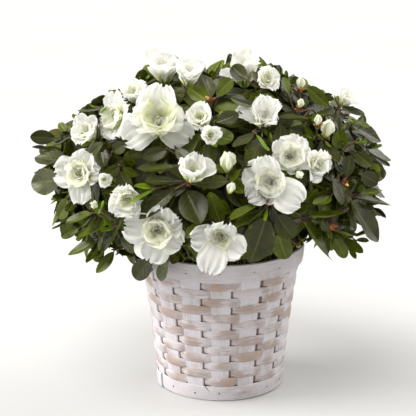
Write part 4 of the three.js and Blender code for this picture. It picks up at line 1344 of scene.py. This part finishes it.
def shades(points, shoot):
    """Whether a point hangs over a blossom, seen from where it faces."""
    offset = points - shoot["tip"] - 0.3 * shoot["size"] * shoot["face"]
    above = offset @ shoot["face"]
    aside = np.linalg.norm(offset - above[:, None] * shoot["face"], axis=1)
    return bool(np.any((above > 0) & (above < SHADE_HEIGHT) & (aside < SHADE_SHARE * shoot["size"])))


def leaf_shape(random, length, width_share):
    return dict(
        width=length * width_share * (0.88 + 0.24 * next(random)),
        droop=0.2 + 0.6 * next(random),
        fold=0.12 + 0.3 * next(random),
        recurve=0.06 + 0.1 * next(random),
        wave=0.12 * next(random),
        phase=next(random),
        sweep=jitter(random, 0.3),
        point=0.52 + 0.34 * next(random),
    )


def whorl(sheaf, crowd, sight, flowers, shoot, plan, random):
    """Leaves in a whorl down a shoot; one that meets something is turned, shortened or skipped."""
    axes = axes_along(shoot["axis"])
    along = axes[0]
    phase = 360 * next(random)
    grown = 0
    for i in range(plan["leaves"]):
        base = shoot["tip"] - along * (plan["start"] + i * plan["spacing"])
        turn0 = phase + i * LEAF_TURN
        pitch0 = plan["pitch"] + i * plan["pitch_step"] + plan["pitch_range"] * next(random)
        length0 = plan["length"] * (0.8 + 0.3 * next(random)) * min(1, 0.78 + 0.06 * i)
        shape0 = leaf_shape(random, 1, plan["width_share"])
        tone = plan["tones"][int(next(random) * len(plan["tones"]))]
        for attempt in range(LEAF_TRIES):
            swing = (1 if attempt % 2 == 0 else -1) * math.ceil(attempt / 2) * 14
            pitch = math.radians(pitch0 + attempt % 3 * 7)
            direction, _ = leaning(axes, math.radians(turn0 + swing), pitch, plan["sag"])
            length = length0 * (1 - 0.05 * attempt)
            leaf = (base, direction, along, length, dict(shape0, width=shape0["width"] * length))
            check = surface_points(leaf, *CHECK_GRID)
            across, down, _ = in_view(check)
            furthest = crown_share(check).max()
            faces_camera = crown_normal(base) @ VIEW_FORWARD < -0.45
            if furthest > (0.92 if faces_camera else CROWN_REACH) or not inside_outline(across, down).all():
                continue
            covers = any(shades(check, flower) for flower in flowers)
            if covers or sight.covered_by(check) or crowd.meets(check, CHECK_FACES, shoot):
                continue
            crowd.add(check, CHECK_FACES, shoot)
            add_leaf(sheaf, leaf, tone)
            grown += 1
            break
    return grown


def seen_leaves(sheaf, twigs, crowd, sight, shoots, random):
    """The leaves that the photograph shows at the front, each on a side twig of the nearest shoot."""
    carried = []
    for row in LEAVES_SEEN:
        foot_u, foot_v, tip_u, tip_v, width_pixels, tone = row
        share = 1.03 if tone == FRESH else 0.975
        tip = seen_on_crown(tip_u, tip_v, share)
        width = width_pixels * (in_view(tip)[2] / FOCAL_PIXELS)
        for deeper in np.arange(0.06, 0.4, 0.03):
            foot = seen_on_crown(foot_u, foot_v, share - deeper)
            length = np.linalg.norm(tip - foot)
            if length > 1.45 * width and length > 22:
                break
        direction = unit(tip - foot)
        true_width = min(max(width, 0.4 * length), 0.66 * length)
        towards = unit(-VIEW_FORWARD - (-VIEW_FORWARD @ direction) * direction)
        aside = np.cross(direction, towards)
        roll = math.acos(min(1, width / true_width))
        upwards = towards * math.cos(roll) + aside * math.sin(roll) * (1 if aside[2] > 0 else -1)
        shape = leaf_shape(random, 1, 1)
        shape.update(width=true_width, droop=0.15 + 0.4 * next(random), fold=0.26 + 0.26 * next(random))
        leaf = (foot, direction, upwards, length, shape)
        sight.add(surface_points(leaf, *SIGHT_GRID))
        check = surface_points(leaf, *CHECK_GRID)
        for stand in (-SEEN_LEAF_ROOM, 0, SEEN_LEAF_ROOM):
            crowd.add(check + stand * upwards, CHECK_FACES, row)
        add_leaf(sheaf, leaf, tone)
        carried.append((foot, direction, row))
    for foot, direction, row in carried:
        add_side_twig(twigs, shoots, foot, direction, crowd, row)


def nearest_on_shoot(shoots, point):
    """The place on any shoot's last stretch that is nearest to a point."""
    best = None
    for shoot in shoots:
        stretch = shoot["tip"] - shoot["knee"]
        share = float(np.clip((point - shoot["knee"]) @ stretch / (stretch @ stretch), 0, 1))
        place = shoot["knee"] + share * stretch
        distance = np.linalg.norm(point - place)
        if best is None or distance < best[0]:
            best = (distance, place)
    return best


def add_side_twig(twigs, shoots, tip, direction, crowd, owner):
    """A twig from the nearest shoot to a leaf or bud, bent inwards until it clears the others."""
    distance, place = nearest_on_shoot(shoots, tip)
    if distance < 1.5:
        return
    sideways = np.cross(direction, crown_normal(tip))
    radii = [SIDE_TWIG_RADIUS * 1.3, SIDE_TWIG_RADIUS * 1.1, SIDE_TWIG_RADIUS, SIDE_TWIG_RADIUS]
    choices = []
    for inwards, aside in [(inwards, aside) for inwards in SIDE_TWIG_BENDS for aside in (0, 0.4, -0.4)]:
        bend = mix(place, tip, 0.6) - 0.2 * distance * direction - inwards * distance * crown_normal(tip)
        bend = bend + aside * distance * sideways
        path, thick = smooth_path([place, bend, tip, tip + 2 * direction], radii, 3)
        choices.append((path, thick))
        outline = limb_points(path, thick + 0.4, 3)
        if not crowd.meets(outline, grid_faces(len(path), 3, loop_columns=True).tolist(), owner):
            break
    else:
        path, thick = choices[0]
    add_limb(twigs, path, thick, 6)


# Blossoms


def petal_grid(rows, columns):
    """Places along and across a petal, its faces and its map."""
    along, across = np.linspace(0, 1, rows)[:, None], np.linspace(-1, 1, columns)[None, :]
    return dict(along=along, across=across, faces=grid_faces(rows, columns), uv=uv_grid(across, along))


FINE_GRID = petal_grid(13, 25)
PLAIN_GRID = petal_grid(11, 17)
SMALL_GRID = petal_grid(9, 13)


def petal_points(plan, grid, random):
    """A petal in its own frame: outwards, aside and up the blossom's axis, with a frilled margin."""
    v, s = grid["along"], grid["across"]
    start, end = math.radians(plan["opens"][0]), math.radians(plan["opens"][1])
    fine = np.linspace(0, 1, 40)
    curl = math.radians(plan["curl"]) * np.clip((fine - 0.6) / 0.4, 0, 1) ** 1.5
    angle = start + (end - start) * fine ** plan["bend"] + curl
    step = np.diff(fine, prepend=0)
    length, width = plan["length"], plan["width"]
    r = plan["base"] + length * np.interp(v, fine, np.cumsum(np.sin(angle) * step))
    h = length * np.interp(v, fine, np.cumsum(np.cos(angle) * step))
    lean = np.interp(v, fine, angle)
    grow = 0.24 + 0.76 * np.sin(math.pi / 2 * np.clip(v / 0.66, 0, 1)) ** 1.3
    close = np.sqrt(np.clip(1 - (np.clip(v - 0.66, 0, 1) / 0.37) ** 2, 0, 1))
    half = 0.5 * width * grow * close
    p = [next(random) for _ in range(6)]
    aside = np.abs(s)
    round_margin = s * (1 + 0.9 * (1 - v))
    distal = np.clip((v - 0.3) / 0.7, 0, 1)
    margin = np.clip(np.maximum(aside * np.clip(v / 0.5, 0, 1), distal**1.4), 0, 1)
    frill, waves = plan["frill"], plan["waves"]
    broad = np.sin(2 * math.pi * (waves * round_margin + p[0]))
    narrow = np.sin(2 * math.pi * (2.6 * waves * round_margin + 0.7 * v + p[1]))
    lift = (s * half) ** 2 * plan["cup"] / max(width, 1)
    lift = lift + frill * (0.8 * margin**1.7 * broad + 0.26 * margin**3 * narrow)
    lift = lift + 0.5 * frill * np.sin(2 * math.pi * (0.55 * s + 0.8 * v + p[2])) * distal
    sideways = s * half + 0.25 * frill * margin**2 * np.sin(2 * math.pi * (waves * round_margin + p[3]))
    sideways = sideways + plan["sweep"] * length * v**2
    stretch = 0.22 * frill * margin**3 * np.sin(2 * math.pi * (1.9 * waves * round_margin + p[4]))
    stretch = stretch - plan["notch"] * distal**3 * np.exp(-((s / 0.16) ** 2)) * length
    radial = r - lift * np.cos(lean) + stretch * np.sin(lean)
    height = h + lift * np.sin(lean) + stretch * np.cos(lean)
    return np.stack(np.broadcast_arrays(radial, sideways, height), -1)


def add_petal(sheaf, origin, axes, clock, plan, grid, random, paint):
    along, side, out = axes
    turn = math.radians(clock)
    radial = side * math.sin(turn) + out * math.cos(turn)
    own_axes = np.array([radial, np.cross(radial, along), along])
    points = (origin + petal_points(plan, grid, random) @ own_axes).reshape(-1, 3)
    sheaf.add(points, grid["faces"], paint, grid["uv"])
    return points


OUTER, INNER, BUD, FILAMENT, ANTHER, PALE = range(6)
STAMENS = 6


def add_stamens(sheaf, origin, axes, size, random):
    """Thin stalks with small heads that stand out of a blossom's throat."""
    along = axes[0]
    for _ in range(STAMENS):
        turn = 2 * math.pi * next(random)
        direction, _ = leaning(axes, turn, math.radians(4 + 20 * next(random)))
        length = size * (0.22 + 0.08 * next(random))
        bend = origin + 0.6 * length * unit(direction + 0.3 * along)
        stalk = [origin + 1.5 * along, bend, origin + length * direction]
        path, thick = smooth_path(stalk, [0.35, 0.3, 0.3], 3)
        add_limb(sheaf, path, thick, 5, FILAMENT)
        head = path[-1] + np.outer(np.linspace(-0.6, 1.6, 5), direction)
        add_limb(sheaf, head, np.array([0.3, 0.8, 0.95, 0.8, 0.4]), 6, ANTHER)


def outer_petals(shoot, random):
    """Rows of clock angle, opening, length and width share for a blossom's outer petals."""
    seen = PETALS_SEEN.get(shoot["row"])
    if seen:
        return seen
    opened = shoot["kind"] == "open"
    spread, longest, widest = ((66, 98), 0.56, 0.54) if opened else ((20, 50), 0.8, 0.62)
    start = 360 * next(random)
    return [
        (
            start + 72 * k + jitter(random, 26),
            mix(*spread, next(random)),
            longest * (0.85 + 0.25 * next(random)),
            widest * (0.85 + 0.3 * next(random)),
        )
        for k in range(5)
    ]


# Layers of a double heart: petals, opening, length as a share of the heart's height, width share
OPEN_LAYERS = [(5, 60, 1.0, 0.46), (5, 42, 0.8, 0.36), (4, 24, 0.66, 0.3), (3, 4, 0.56, 0.26)]
FULL_LAYERS = [
    (5, 66, 1.0, 0.48),
    (5, 52, 0.82, 0.42),
    (4, 38, 0.66, 0.36),
    (4, 18, 0.54, 0.32),
    (3, -20, 0.44, 0.34),
]
HALF_LAYERS = [(4, 28, 1.0, 0.5), (4, 14, 0.84, 0.38), (3, -16, 0.7, 0.36)]


def add_blossom(sheaf, sight, shoot, random):
    """A bud, or a ring of outer petals with a double heart of smaller ones."""
    axes = axes_along(shoot["face"])
    size, kind, tip = shoot["size"], shoot["kind"], shoot["tip"]
    points = []

    def petal(clock, opens, length, width, paint, grid, base, bend, cup, frill, curl, ripple=1.3):
        plan = dict(
            opens=opens,
            length=length * size,
            width=width * size,
            base=base,
            bend=bend,
            cup=cup,
            frill=frill * size,
            curl=curl,
            notch=0.08 * next(random),
            waves=ripple * (0.8 + 0.4 * next(random)),
            sweep=jitter(random, 0.16),
        )
        points.append(add_petal(sheaf, tip, axes, clock, plan, grid, random, paint))

    start = 360 * next(random)
    if kind == "bud":
        for k in range(4):
            petal(start + 90 * k, (32, -26), 1.16, 0.7, BUD, SMALL_GRID, 0.3, 0.8, 1.4, 0, -14)
        for k in range(3):
            petal(start + 45 + 120 * k, (20, -14), 1.2, 0.5, BUD, SMALL_GRID, 0.2, 0.8, 1.4, 0, -10)
    else:
        opened = kind == "open"
        for clock, opening, length, width in outer_petals(shoot, random):
            curl = 26 * next(random) - 4
            cup = 0.5 if opening > 60 else 1.1
            petal(clock, (14, opening), length, width, OUTER, FINE_GRID, 1.6, 0.6, cup, 0.05, curl, 1.5)
        if opened and shoot["row"] in STAMEN_SHOOTS:
            add_stamens(sheaf, tip, axes, size, random)
        heart = HEARTS_SEEN.get(shoot["row"], 0.4 if opened else 0.64)
        pale = shoot["row"] in PALE_HEARTS
        full = opened and (pale or shoot["row"] in FULL_HEARTS)
        paint, frill = PALE if pale else INNER, 0.05 if full else 0.035
        grid = PLAIN_GRID
        for count, opening, share, width in FULL_LAYERS if full else OPEN_LAYERS if opened else HALF_LAYERS:
            start += 180 / count + jitter(random, 30)
            for k in range(count):
                clock = start + 360 / count * k + jitter(random, 26)
                opens = (6, opening + jitter(random, 18))
                length = heart * share * (0.88 + 0.24 * next(random))
                curl = 22 * (next(random) - 0.3)
                if opening < 0:
                    curl = -20
                elif full:
                    curl = 24 + 44 * next(random)
                wide = width * (0.85 + 0.3 * next(random))
                petal(clock, opens, length, wide, paint, grid, 0.8, 1.0, 1.2, frill, curl, 1.0)
            grid = SMALL_GRID
    if shoot["front"]:
        sight.add(np.concatenate(points))


def flower_proxy(shoot):
    """A coarse cone that holds a blossom, to keep leaves out of it."""
    size = shoot["size"]
    along, side, out = axes_along(shoot["face"])
    profile = {
        "open": [(2.5, 2), (0.3 * size, 0.2 * size), (0.44 * size, 0.28 * size), (0.22 * size, 0.4 * size)],
        "half": [(2.5, 2), (0.25 * size, 0.22 * size), (0.4 * size, 0.5 * size), (0.25 * size, 0.7 * size)],
        "bud": [(1.5, 1), (0.28 * size, 0.45 * size), (0.2 * size, 0.7 * size), (1, size)],
    }[shoot["kind"]]
    ring = around(even_angles(10), side, out)
    rings = [shoot["tip"] + radius * ring + rise * along for radius, rise in profile]
    return np.concatenate(rings), grid_faces(4, 10, loop_columns=True).tolist()


SCALE_GRID = (np.linspace(0.06, 1, 5), np.linspace(-1, 1, 3))
SCALE_SHAPE = dict(droop=-0.5, fold=0.4, recurve=0, wave=0.15, sweep=0, point=0.6)


def add_scales(sheaf, shoot, random):
    """Papery bud scales round the foot of a blossom or the heart of a whorl."""
    axes = axes_along(shoot["axis"])
    along = axes[0]
    for k in range(8):
        turn = 2 * math.pi * (k / 8 + 0.1 * next(random))
        direction, radial = leaning(axes, turn, math.radians(10 + 44 * next(random)))
        base = shoot["tip"] - along * (1 + 3 * next(random)) + radial * 1.3
        length = 5.5 + 4.5 * next(random)
        shape = dict(SCALE_SHAPE, width=0.5 * length, phase=next(random))
        points = surface_points((base, direction, along, length, shape), *SCALE_GRID)
        sheaf.add(points, grid_faces(5, 3), 0 if next(random) < 0.7 else 1)


# Crown


def leaf_plans(shoot):
    """Whorls of a shoot: the main one, young leaves at its heart, and a lower one."""
    leafy = shoot["kind"] == "leaves"
    length = shoot["size"] if leafy else LEAF_LENGTH
    low = shoot["tip"][2] < 225
    grown = [MIDDLE, DEEP, MIDDLE, MIDDLE] if low else [DEEP, DEEP, MIDDLE, DEEP, DEEP]
    main = dict(
        leaves=8 if leafy else 6,
        start=4.5,
        spacing=1.7,
        pitch=38 if leafy else 74,
        pitch_step=6.5 if leafy else 3,
        pitch_range=12,
        length=length,
        width_share=LEAF_WIDTH_SHARE * (0.8 if low else 1),
        tones=grown,
        sag=0.12,
    )
    young = dict(
        main,
        leaves=3 if leafy else 2,
        start=1,
        spacing=1.2,
        pitch=16 if leafy else 60,
        pitch_step=6,
        length=0.44 * length,
        width_share=0.36,
        tones=[FRESH, MIDDLE],
        sag=0,
    )
    lower = dict(main, leaves=5, start=19, spacing=3, pitch=62, pitch_step=4, length=0.95 * length)
    return [main, young, lower]


def side_shoots(shoot, random):
    """Shorter side twigs below the tip of a shoot, with a whorl each."""
    made = []
    axes = axes_along(shoot["axis"])
    phase = 2 * math.pi * next(random)
    for k in range(3):
        turn = phase + 2.1 * k + jitter(random, 0.8)
        direction, _ = leaning(axes, turn, math.radians(44 + 26 * next(random)))
        foot = mix(shoot["knee"], shoot["tip"], 0.1 + 0.3 * next(random))
        tip = foot + direction * (18 + 12 * next(random))
        in_basket = math.hypot(tip[0], tip[1]) < RIM_RADIUS + 2 and tip[2] < BASKET_HEIGHT + 8
        if crown_share(tip) > 0.98 or in_basket:
            continue
        size = LEAF_LENGTH * 0.85
        made.append(dict(tip=tip, foot=foot, axis=direction, kind="leaves", size=size, row=None))
    return made


def late_blossoms(shoots):
    """Buds and small blossoms on side twigs of their own."""
    made = []
    for across, up, kind, size, turn, tilt in SIDE_BLOSSOMS:
        face = facing(turn, tilt)
        tip = crown_front(across, up) - (0.9 if kind == "bud" else 0.6) * size * face
        _, place = nearest_on_shoot(shoots, tip)
        blossom = dict(tip=tip, knee=place, face=face, axis=face, kind=kind, size=size)
        made.append(dict(blossom, front=True, row=None))
    return made


def add_basket_guard(crowd):
    """The basket's wall and rim, which no leaf may cross."""
    outwards = ring_place(even_angles(32))
    levels = [(float(basket_radius(height)) + 1, height) for height in (60, BASKET_HEIGHT + 1)]
    levels.append((82, BASKET_HEIGHT - 6))
    rings = [outwards * radius + height * UP for radius, height in levels]
    crowd.add(np.concatenate(rings), grid_faces(3, 32, loop_columns=True).tolist())


def add_moss_sight(sight):
    """The moss at the right inside the rim, which no leaf may cover."""
    x, y = np.meshgrid(MOSS_TUFT[0] + np.linspace(-12, 4, 25), MOSS_TUFT[1] + np.linspace(-12, 12, 25))
    for lift in (0, 4, 8):
        sight.add(np.stack([x, y, moss_height(x, y) + lift], -1).reshape(-1, 3))
    for centre, size in moss_clumps():
        sight.add(centre + size * np.array([[0, 0, 0], [1, 0, 0], [-1, 0, 0], [0, 0, 1], [0, 0, -1]]))


def grow_mass(twigs, mass):
    """The twigs of a mass, from the end of its bough to the shoots."""
    for shoot in mass["shoots"]:
        shoot["axis"] = unit(crown_normal(shoot["tip"]) + shoot["face"])
        shoot["knee"] = shoot["tip"] - SHOOT_KNEE * shoot["axis"]
    foot = mass["bough_tip"] + GAP * mass["end"]
    limbs = []
    grow_twigs([foot, foot + STEM_LENGTH * mass["end"]], mass["shoots"], TWIG_BASE_RADIUS, limbs)
    for points, radii in limbs:
        path, thick = smooth_path(points, radii, 5)
        add_limb(twigs, path, thick, 7)


# Leaf skins, an upper and a lower one for each tone: two greens, midrib, roughness, gloss and glow
GREENS = [
    ("leaf_deep", (0.017, 0.02, 0.0012), (0.042, 0.046, 0.003), (0.07, 0.08, 0.01), 0.42, 0.3, 0.0),
    ("under_deep", (0.06, 0.068, 0.014), (0.1, 0.105, 0.022), (0.14, 0.15, 0.04), 0.6, 0, 0.0),
    ("leaf_middle", (0.045, 0.062, 0.001), (0.1, 0.135, 0.003), (0.17, 0.2, 0.02), 0.4, 0.25, 0.16),
    ("under_middle", (0.1, 0.125, 0.016), (0.16, 0.19, 0.03), (0.2, 0.24, 0.05), 0.6, 0, 0.16),
    ("leaf_fresh", (0.095, 0.165, 0.004), (0.16, 0.26, 0.01), (0.24, 0.34, 0.04), 0.42, 0.15, 0.24),
    ("under_fresh", (0.14, 0.2, 0.016), (0.2, 0.28, 0.03), (0.26, 0.34, 0.06), 0.6, 0, 0.24),
]


def build_foliage(leaves, twigs, scales, every_mass, bark):
    greens = [leaf_material(*green) for green in GREENS]
    leaves["upper"].build("leaves_upper", greens, "foliage", every_mass)
    leaves["lower"].build("leaves_lower", greens, "foliage", [name for name in every_mass if "lower" in name])
    twigs.build("twigs", [bark], "bark", every_mass)
    browns = [
        plain_material("bud_scales_red", (0.2, 0.045, 0.01), (0.42, 0.13, 0.03), 0.6, 260),
        plain_material("bud_scales_tan", (0.4, 0.2, 0.06), (0.6, 0.4, 0.14), 0.6, 260),
    ]
    scales.build("bud_scales", browns, "foliage", every_mass)


def build_blossoms(petals, every_mass):
    throat, cream, white = (0.62, 0.7, 0.2), (0.9, 0.92, 0.67), (0.93, 0.93, 0.9)
    whites = [
        petal_material("petal_outer", throat, cream, white, 0.08, 0.44, 0.56),
        petal_material("petal_inner", throat, cream, white, 0.18, 0.95, 0.68),
        petal_material("petal_bud", throat, cream, (0.93, 0.94, 0.84), 0.12, 0.7, 0.45),
        plain_material("stamen_stalk", (0.7, 0.78, 0.4), (0.82, 0.86, 0.6), 0.6),
        plain_material("stamen_head", (0.16, 0.14, 0.03), (0.36, 0.32, 0.1), 0.7),
        petal_material("petal_pale", (0.8, 0.86, 0.42), (0.93, 0.94, 0.72), white, 0.1, 0.85, 0.74),
    ]
    for side in ("front", "back"):
        petals[side].build(f"blossoms_{side}", whites, "petal", every_mass)


def build_crown(masses, bark):
    twigs, scales, crowd, sight = Sheaf(), Sheaf(), Crowd(), Sight()
    add_basket_guard(crowd)
    for mass in masses:
        grow_mass(twigs, mass)
    shoots = [shoot for mass in masses for shoot in mass["shoots"]]
    late = late_blossoms(shoots)
    for blossom in late:
        add_side_twig(twigs, shoots, blossom["tip"], blossom["face"], crowd, blossom)
    flowers = [shoot for shoot in shoots + late if shoot["kind"] != "leaves"]
    petals = {"front": Sheaf(), "back": Sheaf()}
    random = random_stream(77)
    for flower in flowers:
        add_blossom(petals["front" if flower["front"] else "back"], sight, flower, random)
        crowd.add(*flower_proxy(flower), flower)
    add_moss_sight(sight)
    leaves = {"upper": Sheaves(), "lower": Sheaves()}
    random = random_stream(61)
    seen_leaves(leaves["upper"], twigs, crowd, sight, shoots, random)
    placed_shoots = [
        (leaves["lower" if mass["name"].startswith("lower") else "upper"], shoot)
        for mass in masses
        for shoot in mass["shoots"]
    ]
    for sheaf, shoot in placed_shoots:
        for plan in leaf_plans(shoot):
            whorl(sheaf, crowd, sight, flowers, shoot, plan, random)
        scaly = shoot["row"] is None and shoot["tip"][2] > 220 and next(random) < 0.4
        edge_on = abs(crown_normal(shoot["tip"]) @ VIEW_FORWARD) < 0.4
        if shoot["row"] in SCALY_SHOOTS or (scaly and not edge_on):
            add_scales(scales, shoot, random)
    for blossom in late[1:4]:
        add_scales(scales, blossom, random)
    for sheaf, shoot in placed_shoots:
        for twig in side_shoots(shoot, random):
            grown = 0
            for plan in leaf_plans(twig)[:2]:
                fitted = dict(plan, start=1.5, leaves=min(6, plan["leaves"]))
                grown += whorl(sheaf, crowd, sight, flowers, twig, fitted, random)
            if grown:
                middle = mix(twig["foot"], twig["tip"], 0.6)
                path, thick = smooth_path([twig["foot"], middle, twig["tip"]], [1, 0.9, 1.1], 3)
                add_limb(twigs, path, thick, 6)
    every_mass = [f"foliage_{mass['name']}" for mass in masses]
    build_foliage(leaves, twigs, scales, every_mass, bark)
    build_blossoms(petals, every_mass)


# Floor, light and camera


FLOOR_REACH = 12


def build_stage():
    mesh = bpy.data.meshes.new("floor")
    corners = [(x * FLOOR_REACH, y * FLOOR_REACH, 0) for x, y in ((-1, -1), (1, -1), (1, 1), (-1, 1))]
    mesh.from_pydata(corners, [], [(0, 1, 2, 3)])
    floor = placed("floor", mesh)
    pale = plain_material("pale_floor", (0.47, 0.47, 0.47), (0.5, 0.5, 0.5), 0.4, 2, 40, 0.02)
    floor.data.materials.append(pale)


WINDOW_LIGHT = (1.0, 0.985, 0.95)


def add_light(name, turn, climb, power, spread):
    """A broad soft light from a direction: degrees to the right of the front, and above level."""
    lamp = bpy.data.lights.new(name, "SUN")
    lamp.energy = power
    lamp.angle = math.radians(spread)
    lamp.color = WINDOW_LIGHT
    placed(name, lamp).rotation_euler = Vector(facing(turn, climb)).to_track_quat("Z", "Y").to_euler()


def build_light():
    world = bpy.data.worlds.new("studio")
    world.use_nodes = True
    background = world.node_tree.nodes["Background"].inputs
    background["Color"].default_value = (*WINDOW_LIGHT, 1)
    background["Strength"].default_value = 0.74
    bpy.context.scene.world = world
    add_light("window_left", -94, 30, 3.8, 40)
    add_light("window_right", 122, 32, 2.0, 50)
    add_light("front_fill", -32, 62, 2.35, 40)


def build_camera():
    data = bpy.data.cameras.new("camera")
    data.sensor_width = SENSOR_WIDTH
    data.lens = FOCAL_PIXELS * SENSOR_WIDTH / PHOTO_WIDTH
    camera = placed("camera", data)
    camera.location = (0, -CAMERA_DISTANCE / METRE, CAMERA_HEIGHT / METRE)
    camera.rotation_euler = (math.pi / 2 - CAMERA_TILT, 0, -CAMERA_TURN)
    bpy.context.scene.camera = camera


build_basket()
build_root_ball()
plant_masses = lay_out_masses()
seen = front_shoots()
share_out(seen + filler_shoots(seen), plant_masses)
bark_tones = (0.045, 0.028, 0.017), (0.13, 0.085, 0.055)
bark_material = plain_material("bark", *bark_tones, 0.85, 180, 420, 0.5, 0.0012)
build_limbs(plant_masses, bark_material)
build_crown(plant_masses, bark_material)
build_stage()
build_light()
build_camera()
bpy.context.scene.view_settings.view_transform = "Standard"
